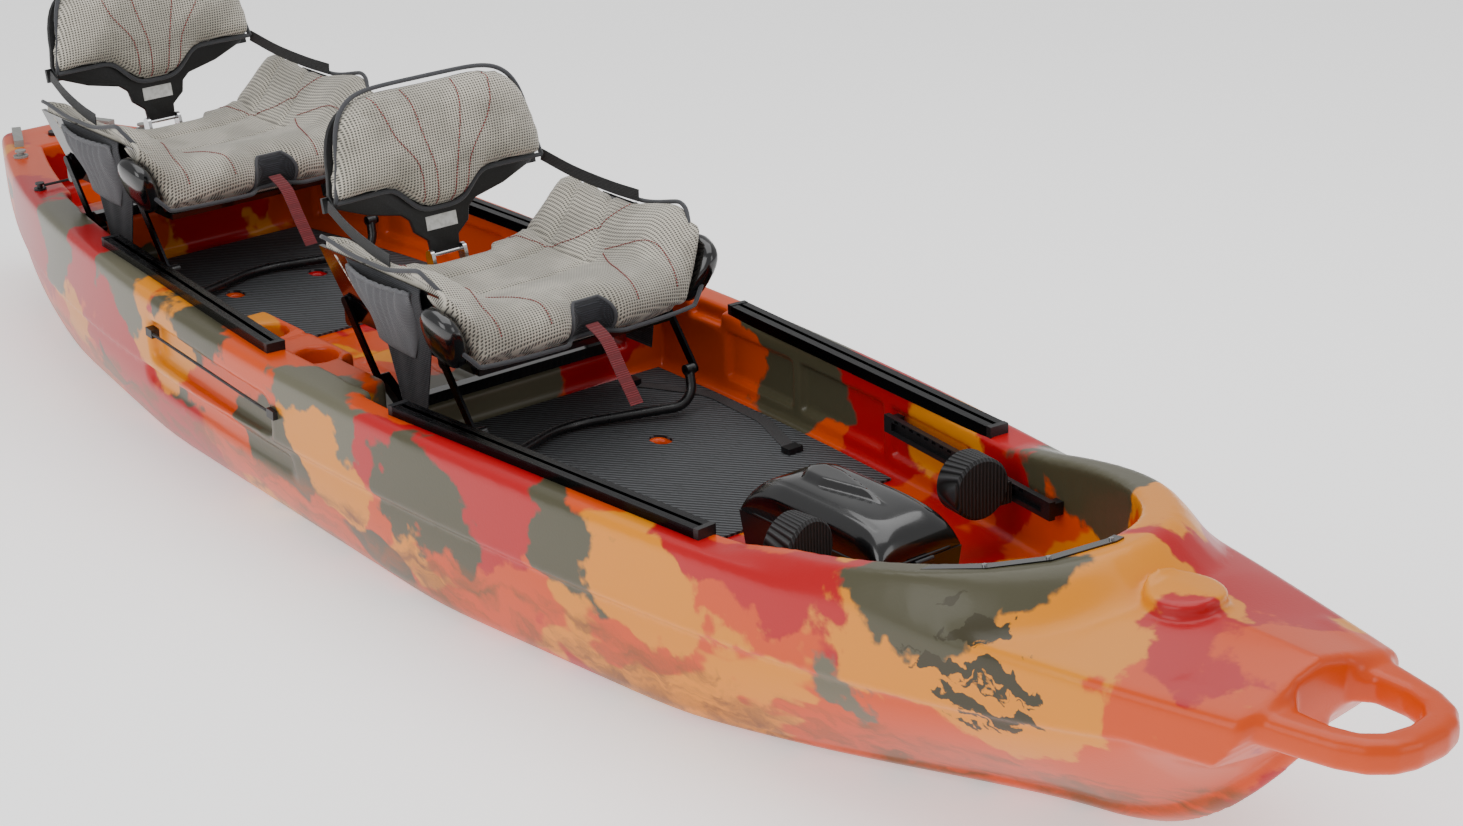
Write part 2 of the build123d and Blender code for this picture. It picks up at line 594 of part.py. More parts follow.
def side_plate(points, y0, y1):
    """A plate over an outline in the side view."""
    face = make_face(Polyline([(x, y0, z) for x, z in points], close=True))
    return extrude(face, y1 - y0, dir=(0, 1, 0))


def cross_block(points, x0, x1):
    """A bar along the boat over an outline in the end view."""
    face = make_face(Polyline([(x0, y, z) for y, z in points], close=True))
    return extrude(face, x1 - x0, dir=(1, 0, 0))


LEG_TOP = (LEG_FOOT[0] + LINK_V[0], LEG_FOOT[1] + LINK_V[1])
REAR_TOP = (REAR_FOOT[0] + LINK_V[0], REAR_FOOT[1] + LINK_V[1])
LUG = 10.0                 # half thickness of the lugs that the links swing on
LINK_Y = (LEG_Y + LUG + 0.4, LEG_Y + LUG + 0.4 + LINK_T)
LUG_R = 11.0
OPEN_GAP = 0.6             # play round the rear link's upper pin, where the linkage is opened


def bore(point, radius, y0, y1):
    """A hole across the boat."""
    return pin_y(point[0], point[1], y0, y1, radius)


def link_pair(foot, top, top_gap):
    """Both side links of one pair, with the pins that are riveted into them."""
    link = strut(foot, top, LINK_W, *LINK_Y)
    link += pin_y(foot[0], foot[1], LEG_Y - 4, LINK_Y[0] + 1, PIN_R)
    link += pin_y(top[0], top[1], LEG_Y - 4, LINK_Y[0] + 1, PIN_R - top_gap)
    return group(both(link))


def tilt(shape, angle):
    """Leans a backrest piece backward about its pivot."""
    return Pos(BACK_PIVOT[0], 0, BACK_PIVOT[1]) * Rot(0, -angle, 0) * shape


def back_outline(points, x0, x1):
    """A plate over an outline in the backrest's own upright plane."""
    right = [(y, z) for y, z in points]
    return cross_block(right + [(-y, z) for y, z in reversed(right)], x0, x1)


def seat_nodes(tag, dx, dz, bench_x, bench_z):
    """All pieces of one seat, moved to its place; the crossbar sits on the bench's front edge."""
    at = Pos(dx, 0, dz)
    out = {}
    bend = [(LEG_FOOT[0], LEG_Y, LEG_FOOT[1]), (LEG_FOOT[0] + 22, LEG_Y - 8, 235), (38, 0, 222)]
    mirrored = [(x, -y, z) for x, y, z in reversed(bend[:2])]
    base_bar = tube(bend + mirrored, TUBE_R, [42, 150, 42])
    for side in (1, -1):
        lug = Pos(LEG_FOOT[0], side * LEG_Y, LEG_FOOT[1]) * Rot(90, 0, 0) * Cylinder(LUG_R, 2 * LUG)
        base_bar += lug
        base_bar -= bore(LEG_FOOT, PIN_R + PIN_FIT, side * (LEG_Y - 40), side * (LEG_Y + 40))
    out["base_bar"] = at * base_bar

    bar_z = bench_z - dz
    bar_x = bench_x - dx - 12
    crossbar = bar(bar_x - 12, bar_x + 12, -LEG_Y, LEG_Y, bar_z, bar_z + 22)
    for side in (1, -1):
        y0, y1 = sorted((side * (LEG_Y - LUG), side * (LEG_Y + LUG)))
        crossbar += strut((bar_x, bar_z + 15), REAR_FOOT, 2 * LUG_R, y0, y1)
        crossbar -= bore(REAR_FOOT, PIN_R + PIN_FIT, y0 - 1, y1 + 1)
    out["crossbar"] = at * crossbar
    out["front_links"] = at * link_pair(LEG_FOOT, LEG_TOP, 0)
    out["rear_links"] = at * link_pair(REAR_FOOT, REAR_TOP, OPEN_GAP)

    wall = [(PAN_HALF - 10, PAN_Z), (PAN_HALF + 2, PAN_Z)]
    wall += [(PAN_HALF + 70, PAN_Z + 170), (PAN_HALF + 60, PAN_Z + 170)]
    pan = bar(PAN_X[0], PAN_X[1], -PAN_HALF, PAN_HALF, PAN_Z, PAN_Z + PAN_T)
    for side in (1, -1):
        pan += cross_block([(side * y, z) for y, z in wall], PAN_X[0] + 8, PAN_X[1] - 15)
    for point in (LEG_TOP, REAR_TOP):
        for side in (1, -1):
            y0, y1 = sorted((side * (PAN_HALF - 2), side * (LEG_Y + LUG)))
            pan += strut(point, (point[0] + 1, PAN_Z + 10), 2 * LUG_R, y0, y1)
            pan -= bore(point, PIN_R + PIN_FIT, side * (LEG_Y - 6), side * (LEG_Y + LUG + 1))
    room = [(PAN_HALF - 10 + PAN_T * 0.4118, PAN_Z + PAN_T), (PAN_HALF + 60, PAN_Z + 170)]
    room += [(PAN_HALF + 60, 700)]
    pan -= cross_block(room + [(-y, z) for y, z in reversed(room)], PAN_X[0] - 20, PAN_X[1] + 20)
    out["pan"] = at * pan

    pad_x = (PAN_X[0] + 12, PAN_X[1] + 58)
    low = PAN_Z + PAN_T + CUSHION_GAP
    face = PAN_HALF - 10 + (low - PAN_Z) * 0.412 - 1.5
    top = PAN_Z + 170
    half = [(face, low), (face + (top - low) * 0.412, top), (face + 40, top + 14), (face - 28, low + 92)]
    half += [(face - 90, low + CUSHION_T), (0, low + CUSHION_T - 8)]
    cushion = cross_block(half + [(-y, z) for y, z in reversed(half[:-1])], *pad_x)
    cushion -= bar(pad_x[0] - 1, pad_x[0] + 34, -82, 82, 300, 700)
    cushion = cushion - Pos(PAN_X[1], 0, 0) * bar(0, 90, -400, 400, 300, low + 14)
    out["cushion"] = at * cushion

    foot = bar(PAN_X[0] + 2, PAN_X[0] + 30, -46, 46, PAN_Z + PAN_T, PAN_Z + PAN_T + 4)
    bracket = foot
    for side in (1, -1):
        y0, y1 = sorted((side * 34, side * 42))
        arm = strut((PAN_X[0] + 12, PAN_Z + PAN_T + 12), BACK_PIVOT, 24, y0, y1)
        bracket += arm & bar(-500, 200, -60, 60, PAN_Z + PAN_T, 900)
    bracket += pin_y(*BACK_PIVOT, -42, 42, PIN_R)
    out["recline_bracket"] = at * bracket

    barrel = Rot(90, 0, 0) * Cylinder(11, 66)
    board = back_outline([(33, -2), (33, 30), (NECK_HALF, 60), (NECK_HALF, 150)], -BACK_T, 0)
    panel = [(BACK_HALF - 4, BACK_PAD_BOTTOM), (BACK_HALF, 200), (BACK_HALF - 36, BACK_H)]
    board += back_outline(panel, -BACK_T, 0) + barrel
    board -= Rot(90, 0, 0) * Cylinder(PIN_R + PIN_FIT, 100)
    out["back_board"] = at * tilt(board, BACK_LEAN)
    pad = [(BACK_HALF - 6, BACK_PAD_BOTTOM + 32), (BACK_HALF - 2, 215), (BACK_HALF - 40, BACK_H + 16)]
    back_pad = back_outline(pad, CUSHION_GAP, BACK_PAD_T)
    out["back_cushion"] = at * tilt(back_pad, BACK_LEAN)

    high = tilt(Pos(-BACK_T - 5, BACK_HALF - 14, BACK_PAD_BOTTOM + 26) * Box(8, 34, 30), BACK_LEAN)
    out["strap_buckles"] = at * group(both(high))
    run = ((-352.0, BACK_HALF + 4.5, 632.0), (-78.0, LEG_Y + 46, 598.0))
    webbing = bar(0, length_of(run), -STRAP_T / 2, STRAP_T / 2, -STRAP_W / 2, STRAP_W / 2)
    webbing = along(*run, webbing)
    out["back_straps"] = at * group(both(webbing))

    wing_y = LINK_Y[1] + 1.5
    hip_y = PAN_HALF + 73
    sheet = [(wing_y, 280), (wing_y, 455), (hip_y, 572), (hip_y + 2, 572), (wing_y + 2, 455), (wing_y + 2, 280)]
    wing = [(-215, 572), (40, 572), (22, 470), (-30, 292), (-68, 292), (-92, 360), (-228, 440)]
    out["side_wings"] = at * group(both(cross_block(sheet, -240, 60) & side_plate(wing, LEG_Y, LEG_Y + 120)))
    bag = [(wing_y + 2.6, 400), (wing_y + 2.6, 455), (hip_y + 2.6, 572), (hip_y + 18, 560)]
    bag += [(wing_y + 36, 490), (wing_y + 32, 400)]
    pouch = [(-212, 560), (4, 556), (-12, 440), (-70, 424), (-188, 436)]
    out["side_pouches"] = at * group(both(cross_block(bag, -240, 60) & side_plate(pouch, LEG_Y, LEG_Y + 120)))
    pull = ((pad_x[1] + 4, 0, 468), (pad_x[1] + 126, 0, 335))
    tape = bar(0, length_of(pull), -STRAP_W / 2, STRAP_W / 2, -STRAP_T / 2, STRAP_T / 2)
    out["pull_strap"] = at * along(*pull, tape)
    return {f"{tag}_seat_{name}": shape for name, shape in out.items()}


nodes |= seat_nodes("front", 0, 0, BENCH_X[1], BENCH_Z)
nodes |= seat_nodes("rear", SEAT_SHIFT, SEAT_RISE, REAR_BENCH_X[1], REAR_BENCH_Z)

# ---- drain plug on the stern deck ----
plug_x = STERN + 128
plug_z = sheer(plug_x) - 3
hull -= Pos(plug_x, 0, plug_z + 25) * Cylinder(PLUG_R + 7, 50)
hull -= Pos(plug_x, 0, plug_z - 20) * Cylinder(PLUG_R + 0.3, 60)
plug = Pos(plug_x, 0, plug_z + 4) * Cylinder(PLUG_R + 6, 8)
nodes["drain_plug"] = plug + Pos(plug_x, 0, plug_z - 9) * Cylinder(PLUG_R, 20)

nodes["hull"] = hull

for name, shape in nodes.items():
    export_step(shape, f"parts/{name}.step")
    print(name, len(shape.solids()), round(shape.volume / 1e6, 3), "litres")
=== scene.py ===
import json
import math

import bmesh
import bpy
import numpy as np
import openvdb
from mathutils import Matrix, Vector
from mathutils.bvhtree import BVHTree


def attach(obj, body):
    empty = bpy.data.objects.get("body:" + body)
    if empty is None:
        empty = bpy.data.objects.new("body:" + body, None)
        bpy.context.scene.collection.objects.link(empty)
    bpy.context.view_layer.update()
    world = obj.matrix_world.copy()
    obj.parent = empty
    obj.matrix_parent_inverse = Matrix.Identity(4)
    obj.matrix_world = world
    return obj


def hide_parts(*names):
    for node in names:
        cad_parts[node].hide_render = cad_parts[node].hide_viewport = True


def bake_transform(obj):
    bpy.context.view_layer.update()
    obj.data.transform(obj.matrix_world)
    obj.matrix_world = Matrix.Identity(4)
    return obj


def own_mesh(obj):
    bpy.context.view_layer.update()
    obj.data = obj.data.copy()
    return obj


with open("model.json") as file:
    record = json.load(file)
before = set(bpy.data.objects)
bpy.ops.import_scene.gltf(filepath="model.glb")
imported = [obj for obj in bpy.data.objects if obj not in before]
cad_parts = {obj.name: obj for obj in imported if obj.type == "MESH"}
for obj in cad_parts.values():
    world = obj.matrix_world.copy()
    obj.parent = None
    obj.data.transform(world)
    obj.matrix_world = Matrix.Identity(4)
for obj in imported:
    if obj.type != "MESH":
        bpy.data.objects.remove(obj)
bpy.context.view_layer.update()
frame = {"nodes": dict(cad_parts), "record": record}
NODES = frame["nodes"]

# ---- Camera ----
# Looks down over the starboard bow, a little tilted, from about six metres away.
yaw, pitch, roll = 2.4753, -0.3759, -0.0296
look = Vector((math.cos(pitch) * math.cos(yaw), math.cos(pitch) * math.sin(yaw), math.sin(pitch)))
side = look.cross(Vector((0, 0, 1))).normalized()
over = side.cross(look)
across = side * math.cos(roll) + over * math.sin(roll)
upward = over * math.cos(roll) - side * math.sin(roll)
camera = bpy.data.objects.new("camera", bpy.data.cameras.new("camera"))
bpy.context.scene.collection.objects.link(camera)
camera.matrix_world = Matrix((
    (across.x, upward.x, -look.x, 4.5627),
    (across.y, upward.y, -look.y, -3.1412),
    (across.z, upward.z, -look.z, 2.4085),
    (0, 0, 0, 1),
))
camera.data.sensor_width = 36
camera.data.lens = 75.26
camera.data.clip_end = 60
bpy.context.scene.camera = camera

# ---- Studio ----
# A pale floor that runs far back, a white surround, one wide overhead panel and two
# side panels that draw long soft highlights along the hull.
world = bpy.data.worlds.new("studio")
bpy.context.scene.world = world
world.use_nodes = True
world.node_tree.nodes["Background"].inputs["Color"].default_value = (1.0, 1.0, 1.0, 1)
world.node_tree.nodes["Background"].inputs["Strength"].default_value = 0.65
for name, place, aim, size, power in (
    ("overhead", (0.3, 0.6, 4.2), (0, 0, 0), 4.5, 140),
    ("starboard", (1.5, -4.6, 2.6), (0.2, 0, 0.2), 3.2, 90),
    ("bow", (5.6, 1.8, 2.4), (0.8, 0, 0.3), 2.2, 30),
):
    panel = bpy.data.objects.new(name, bpy.data.lights.new(name, "AREA"))
    panel.data.size = size
    panel.data.energy = power
    panel.location = place
    panel.rotation_euler = (Vector(aim) - Vector(place)).to_track_quat("-Z", "Y").to_euler()
    bpy.context.scene.collection.objects.link(panel)


def linear(code):
    """An sRGB hex colour as linear RGBA."""
    parts = [int(code[i:i + 2], 16) / 255 for i in (1, 3, 5)]
    return (*[c / 12.92 if c <= 0.04045 else ((c + 0.055) / 1.055) ** 2.4 for c in parts], 1.0)


def node(tree, kind, **given):
    """Adds one node. A given value that is a socket is linked, and any other is set."""
    made = tree.nodes.new(kind)
    for key, value in given.items():
        if key.startswith("in_"):
            slot = made.inputs[int(key[3:])] if key[3:].isdigit() else made.inputs[key[3:]]
            if isinstance(value, bpy.types.NodeSocket):
                tree.links.new(value, slot)
            else:
                slot.default_value = value
        else:
            setattr(made, key, value)
    return made


def start_material(name, colour, roughness, **sockets):
    """A material with its Principled shader set; sockets are the shader's own inputs."""
    made = bpy.data.materials.new(name)
    made.use_nodes = True
    shader = made.node_tree.nodes["Principled BSDF"]
    shader.inputs["Base Color"].default_value = linear(colour)
    shader.inputs["Roughness"].default_value = roughness
    for key, value in sockets.items():
        shader.inputs[key.replace("_", " ")].default_value = value
    made.diffuse_color = linear(colour)
    return made, made.node_tree, shader


floor_mesh = bpy.data.meshes.new("studio_floor")
floor_mesh.from_pydata(
    [(-30, -30, -0.002), (30, -30, -0.002), (30, 30, -0.002), (-30, 30, -0.002)], [], [(0, 1, 2, 3)]
)
floor = bpy.data.objects.new("studio_floor", floor_mesh)
bpy.context.scene.collection.objects.link(floor)
paper, _, _ = start_material(
    "studio paper", "#FFFFFF", 0.85, Emission_Color=(1, 1, 1, 1), Emission_Strength=0.55
)
floor_mesh.materials.append(paper)

# ---- Hull ----
# One hollow polyethylene shell, tumbled in a hot mould, so every edge is soft and the
# pigment powders lie in blended patches. The field below is its skin, as a distance.
GRID = 0.0056
LENGTH = 4.32
COCKPIT_FRONT = LENGTH / 2 - 0.67
FRONT_FLOOR, REAR_FLOOR, BENCH, REAR_BENCH, CONSOLE, TANK = 0.205, 0.240, 0.268, 0.350, 0.345, 0.255


def half_beam(x):
    u = x / (LENGTH / 2) + 0.05
    return 0.46 * (1 - np.where(u > 0, 0.677 * np.abs(u) ** 1.96, 0.933 * np.abs(u) ** 2.64))


def sheer(x):
    return 0.372 + 0.024 * np.exp(-(((x + 1.15) / 0.56) ** 2))


def smooth_min(a, b, k):
    h = np.maximum(k - np.abs(a - b), 0) / k
    return np.minimum(a, b) - h * h * k / 4


def smooth_max(a, b, k):
    return -smooth_min(-a, -b, k)


def ease(v, low, high):
    t = np.clip((v - low) / (high - low), 0, 1)
    return t * t * (3 - 2 * t)


def outline_distance(points, px, py):
    """Signed distance in plan to a closed outline, negative inside."""
    best = np.full(px.shape, 1e9)
    inside = np.zeros(px.shape, bool)
    for (x0, y0), (x1, y1) in zip(points, points[1:] + points[:1]):
        dx, dy = x1 - x0, y1 - y0
        t = np.clip(((px - x0) * dx + (py - y0) * dy) / (dx * dx + dy * dy + 1e-12), 0, 1)
        best = np.minimum(best, (px - x0 - t * dx) ** 2 + (py - y0 - t * dy) ** 2)
        if abs(dy) > 1e-12:
            cross = x0 + (py - y0) / dy * dx
            inside ^= ((y0 > py) != (y1 > py)) & (px < cross)
    return np.where(inside, -np.sqrt(best), np.sqrt(best))


def cockpit_outline(x0, x1, steps, grow=0.0):
    """A well whose sides run 85 mm inside the gunwale, from x0 to x1."""
    along = np.linspace(x0, x1, steps)
    port = [(float(x), float(half_beam(x)) - 0.085 + grow) for x in along]
    return port + [(x, -y) for x, y in reversed(port)]


def front_outline():
    """The front footwell, drawn in to a rounded point at the bow."""
    start = COCKPIT_FRONT - 0.40
    port = [(float(x), float(half_beam(x)) - 0.085) for x in np.linspace(-0.13, start, 12)]
    end = float(half_beam(start)) - 0.085
    for step in range(1, 14):
        a = math.radians(step * 90 / 14)
        port.append((start + 0.40 * math.sin(a) ** 1.05, end * math.cos(a) ** 0.92))
    return port + [(COCKPIT_FRONT, 0.0)] + [(x, -y) for x, y in reversed(port)]


gx = np.arange(-2.19, 2.19, GRID, dtype=np.float32)
gy = (np.arange(0, int(0.49 / GRID)) * GRID).astype(np.float32)
gz = np.arange(-0.02, 0.50, GRID, dtype=np.float32)
X, Y, Z = gx[:, None, None], gy[None, :, None], gz[None, None, :]
flat_x, flat_y = np.meshgrid(gx, gy, indexing="ij")

b = half_beam(gx)
s = sheer(gx)
keel = 0.25 * (np.maximum(0, gx - 1.56) / 0.375) ** 2.0 + 0.215 * (np.maximum(0, -1.60 - gx) / 0.52) ** 2.2
foot = np.interp(gx, [-2.16, -1.9, -1.5, -0.9, 0.2, 0.85, 1.12, 1.30, 1.5, 1.72, 1.95],
                 [0.03, 0.12, 0.26, 0.36, 0.412, 0.345, 0.25, 0.165, 0.075, 0.03, 0.016])
for _ in range(3):
    foot = np.convolve(np.pad(foot, 12, mode="edge"), np.ones(25) / 25, "valid")
fine = np.clip((gx - 0.86) / 0.9, 0, 1)
aft = np.clip((-1.60 - gx) / 0.5, 0, 1)
chine = 0.215 + (s - 0.215) * 0.45 * np.maximum(fine, aft) ** 2
low = (keel + 0.03 + 0.03 * fine)[:, None]
t = np.clip((gz[None, :] - low) / np.maximum(chine[:, None] - 0.004 - low, 0.02), 0, 1)
skin = foot[:, None] + (b[:, None] - 0.014 - foot[:, None]) * (1 - (1 - t) ** (1.9 - 0.7 * fine[:, None]))
skin = skin + 0.012 * ease(gz[None, :], chine[:, None] - 0.006, chine[:, None] + 0.010)
skin = skin + 0.002 * ease(gz[None, :], chine[:, None], s[:, None])
skin = skin - 0.05 * (1 - np.clip((gz[None, :] - keel[:, None]) / (low - keel[:, None]), 0, 1)) ** 2
hull = Y - skin[:, None, :]
tunnel = 0.012 * (1 - fine[:, None]) * np.sin(
    np.clip(flat_y / np.maximum(foot[:, None], 0.02) / 0.74, 0, 1) * math.pi
) ** 2
hull = smooth_max(hull, (keel[:, None] + tunnel)[:, :, None] - Z, 0.05)

rim_plan = front_outline()
off_rim = outline_distance(rim_plan, flat_x, flat_y)
crown = 0.046 * np.clip((flat_x - 0.93) / 0.7, 0, 1)
roof = np.clip(flat_y / b[:, None], 0, 1)
crest = np.where(flat_x > 1.45, 1 - roof ** (2 - 0.9 * ease(flat_x, 1.5, 1.8)), 1 - roof ** 2)
deck = s[:, None] + crown * crest
rim_rise = 0.098 * np.clip((flat_x - 0.97) / 0.588, 0, 1) ** 0.9
rim_top = 0.372 + rim_rise
rim_width = 0.02 + 0.03 * ease(flat_x, 0.9, 1.4)
wear = 1 - ease(off_rim, rim_width, rim_width + 0.05 + 0.05 * ease(flat_x, 1.3, 1.6))
deck = deck + np.maximum(rim_top - deck, 0) * wear * (flat_x > 0.9)
dome = np.hypot(flat_x - 1.671, flat_y)
hull = smooth_max(hull, Z - deck[:, :, None], 0.022)
puck = smooth_max(dome[:, :, None] - 0.064, Z - (deck + 0.024)[:, :, None], 0.008)
hull = smooth_min(hull, smooth_max(puck, 0.33 - Z, 0.01), 0.008)
hull = smooth_max(hull, X - 1.95, 0.02)
hull = smooth_max(hull, -2.155 - X, 0.05)

loop_out = [
    (1.80, 0.17), (1.90, 0.158), (2.0, 0.138), (2.07, 0.122), (2.115, 0.100), (2.143, 0.068),
    (2.155, 0.03)
]
loop_out = loop_out + [(x, -y) for x, y in reversed(loop_out)]
loop_in = [(1.945, 0.055), (1.975, 0.078), (2.03, 0.078), (2.07, 0.066), (2.092, 0.042), (2.10, 0.0)]
loop_in = loop_in + [(x, -y) for x, y in reversed(loop_in[:-1])]
around = smooth_max(
    outline_distance(loop_out, flat_x, flat_y), -outline_distance(loop_in, flat_x, flat_y), 0.01
)
slab = np.abs(gz - 0.350) - 0.027
soft = 0.020
a, c = around[:, :, None] + soft, (slab + soft)[None, None, :]
loop = np.sqrt(np.maximum(a, 0) ** 2 + np.maximum(c, 0) ** 2) + np.minimum(np.maximum(a, c), 0) - soft
hull = smooth_min(hull, loop, 0.018)
hull = smooth_max(
    hull, -np.maximum(outline_distance(loop_in, flat_x, flat_y)[:, :, None], np.abs(Z - 0.36) - 0.05),
    0.01
)


def well(outline, floor, k=0.02):
    """A moulded hollow over a plan outline, with a radius where its walls meet the floor."""
    plan = outline if isinstance(outline, np.ndarray) else outline_distance(outline, flat_x, flat_y)
    return smooth_max(plan[:, :, None] if plan.ndim == 2 else plan, floor - Z, k)


def block(x0, x1, half, floor, k=0.02):
    plan = smooth_max(np.maximum(x0 - flat_x, flat_x - x1), flat_y - half, 0.02)
    return well(plan, floor, k)


panels = np.zeros_like(flat_x)
for x0, x1 in ((0.085, 0.295), (0.325, 0.585), (0.615, 0.86)):
    panels = panels + ease(flat_x, x0 - 0.008, x0 + 0.008) * (1 - ease(flat_x, x1 - 0.008, x1 + 0.008))
height = ease(gz, 0.232, 0.248) * (1 - ease(gz, 0.326, 0.340))
front = off_rim[:, :, None] - 0.013 * panels[:, :, None] * height[None, None, :]
front = smooth_max(front, FRONT_FLOOR - Z, 0.022)
hull = smooth_max(hull, -front, 0.012)
rear_panels = np.zeros_like(flat_x)
for x0, x1 in ((-1.32, -1.12), (-1.09, -0.90), (-0.87, -0.68)):
    rear_panels = rear_panels + ease(flat_x, x0 - 0.008, x0 + 0.008) * (
        1 - ease(flat_x, x1 - 0.008, x1 + 0.008)
    )
rear_height = ease(gz, 0.262, 0.276) * (1 - ease(gz, 0.345, 0.358))
rear = outline_distance(cockpit_outline(-1.385, -0.64, 12), flat_x, flat_y)[:, :, None]
rear = rear - 0.011 * rear_panels[:, :, None] * rear_height[None, None, :]
hull = smooth_max(hull, -smooth_max(rear, REAR_FLOOR - Z, 0.022), 0.012)
for outline, level in (
    (cockpit_outline(-0.48, -0.09, 8), CONSOLE),
    (cockpit_outline(-0.66, -0.46, 6), CONSOLE),
    (cockpit_outline(-1.53, -1.365, 6), REAR_BENCH),
    (cockpit_outline(-1.95, -1.53, 10, -0.015), TANK),
):
    hull = smooth_max(hull, -well(outline, level), 0.010)
for x0, x1, half, level in (
    (-0.48, -0.10, 0.25, BENCH), (-0.30, -0.10, 0.285, BENCH), (-0.66, -0.46, 0.25, REAR_FLOOR)
):
    hull = smooth_max(hull, -block(x0, x1, half, level, 0.012), 0.010)
groove = np.zeros_like(flat_x)
for y in (0.055, 0.16):
    groove = np.maximum(
        groove,
        (1 - ease(np.abs(flat_y - y), 0.008, 0.016)) * (1 - ease(np.abs(flat_x + 0.30), 0.12, 0.135))
    )
hull = hull + (0.007 * groove)[:, :, None] * (np.abs(Z - BENCH) < 0.02)
notch = np.maximum(np.maximum(-0.035 - flat_x, flat_x - 0.062), 0.345 - flat_y)
hull = smooth_max(hull, -np.maximum(np.maximum(notch, flat_y - 0.395)[:, :, None], 0.342 - Z), 0.012)
for x, y in ((0.199, 0.115), (-1.026, 0.104), (-1.80, 0.09)):
    hull = smooth_max(hull, 0.016 - np.hypot(flat_x - x, flat_y - y)[:, :, None] + 0 * Z, 0.008)
wheel = np.maximum(np.hypot(X + 1.905, Z - 0.066) - 0.068, Y - 0.035)
hull = smooth_max(
    hull, -np.minimum(wheel, np.maximum(np.maximum(np.abs(X + 1.905) - 0.068, Y - 0.035), Z - 0.066)),
    0.008
)
pocket = smooth_max(np.abs(X + 0.54) - 0.25, np.abs(Z - 0.275 + 0.05 * (X + 0.54)) - 0.043, 0.03)
hull = smooth_max(hull, -smooth_max(pocket, (b - 0.026)[:, None, None] - Y, 0.015), 0.014)
rib = smooth_max(np.abs(X + 0.545) - 0.30, np.abs(Z - 0.185 + 0.04 * (X + 0.54)) - 0.018, 0.02)
hull = smooth_max(hull, -smooth_max(rib, (b - 0.028)[:, None, None] - Y, 0.012), 0.02)

whole = np.concatenate([hull[:, :0:-1, :], hull], axis=1).astype(np.float32)
all_y = np.concatenate([-gy[:0:-1], gy])
for x in (-0.532, -0.345):
    cup = np.maximum(
        np.hypot(gx[:, None] - x, all_y[None, :] + 0.312)[:, :, None] - 0.044, CONSOLE - 0.070 - Z
    )
    whole = smooth_max(whole, -cup, 0.010)
plug = np.hypot(gx[:, None] + 2.032, all_y[None, :])[:, :, None] - 0.0215
whole = smooth_max(whole, -np.maximum(plug, 0.369 - Z), 0.004)

grid = openvdb.FloatGrid(0.1)
grid.copyFromArray(np.clip(whole, -0.1, 0.1))
points, triangles, quads = grid.convertToPolygons(isovalue=0.0)
points = points * GRID + np.array([gx[0], all_y[0], gz[0]])
mesh = bpy.data.meshes.new("kayak_hull")
faces = [tuple(int(i) for i in q) for q in quads] + [tuple(int(i) for i in q) for q in triangles]
mesh.from_pydata(points.tolist(), [], faces)
mesh.update()
hull_piece = bpy.data.objects.new("kayak_hull", mesh)
bpy.context.scene.collection.objects.link(hull_piece)
work = bmesh.new()
work.from_mesh(mesh)
bmesh.ops.recalc_face_normals(work, faces=work.faces)
work.to_mesh(mesh)
work.free()
ease_out = hull_piece.modifiers.new("smooth", "SMOOTH")
ease_out.factor = 0.5
ease_out.iterations = 2
thin = hull_piece.modifiers.new("thin", "DECIMATE")
thin.ratio = min(1.0, 190000 / (2 * len(faces)))
# Pigment powders are thrown by hand into the mould, so each patch has a torn, feathered
# edge and its own place. Bow deck, coaming, sides and cockpit walls each have theirs.
camo, tree, shader = start_material(
    "rotomoulded polyethylene camouflage", "#D8450C", 0.32, Coat_Weight=0.10, Coat_Roughness=0.08,
    Specular_IOR_Level=0.32
)
place = node(tree, "ShaderNodeTexCoord").outputs["Object"]


def blend_colours(tree, under, over, where, low, high):
    """Lays one colour over another where a mask passes its threshold, with a feathered edge. Used for pigment
    patches and also for painted shade and highlights.
    """
    edge = node(
        tree, "ShaderNodeMapRange", in_0=where, in_1=low, in_2=high, interpolation_type="SMOOTHSTEP"
    )
    mix = node(tree, "ShaderNodeMix", data_type="RGBA")
    tree.links.new(edge.outputs[0], mix.inputs["Factor"])
    for index, value in ((6, under), (7, over)):
        if isinstance(value, bpy.types.NodeSocket):
            tree.links.new(value, mix.inputs[index])
        else:
            mix.inputs[index].default_value = linear(value)
    return mix.outputs[2]


torn = node(
    tree, "ShaderNodeTexNoise", noise_dimensions="4D", in_Vector=place, in_W=3.0,
    in_Scale=4.5, in_Detail=5.0
)
swing = node(
    tree, "ShaderNodeVectorMath", operation="MULTIPLY_ADD", in_0=torn.outputs["Color"],
    in_1=(0.42, 0.3, 0.3), in_2=place
)
shift = node(
    tree, "ShaderNodeVectorMath", operation="SUBTRACT", in_0=swing.outputs[0], in_1=(0.21, 0.15, 0.15)
)
ORANGE, YELLOW, RED, OLIVE, PALE = "#CC4400", "#DA8400", "#AE0410", "#4A4734", "#605D4B"
fray = node(
    tree, "ShaderNodeTexNoise", noise_dimensions="4D", in_Vector=place, in_W=6.0,
    in_Scale=17.0, in_Detail=4.0
)
feather = node(
    tree, "ShaderNodeVectorMath", operation="MULTIPLY_ADD", in_0=fray.outputs["Color"],
    in_1=(0.13, 0.09, 0.09), in_2=shift.outputs[0]
)
shift = node(
    tree, "ShaderNodeVectorMath", operation="SUBTRACT", in_0=feather.outputs[0],
    in_1=(0.065, 0.045, 0.045)
)
squeezed = node(
    tree, "ShaderNodeVectorMath", operation="MULTIPLY", in_0=shift.outputs[0], in_1=(0.72, 1.0, 1.0)
)
stretch = node(tree, "ShaderNodeMapping", in_Vector=place)
stretch.inputs["Scale"].default_value = (0.6, 1.0, 1.0)
pigment = ORANGE
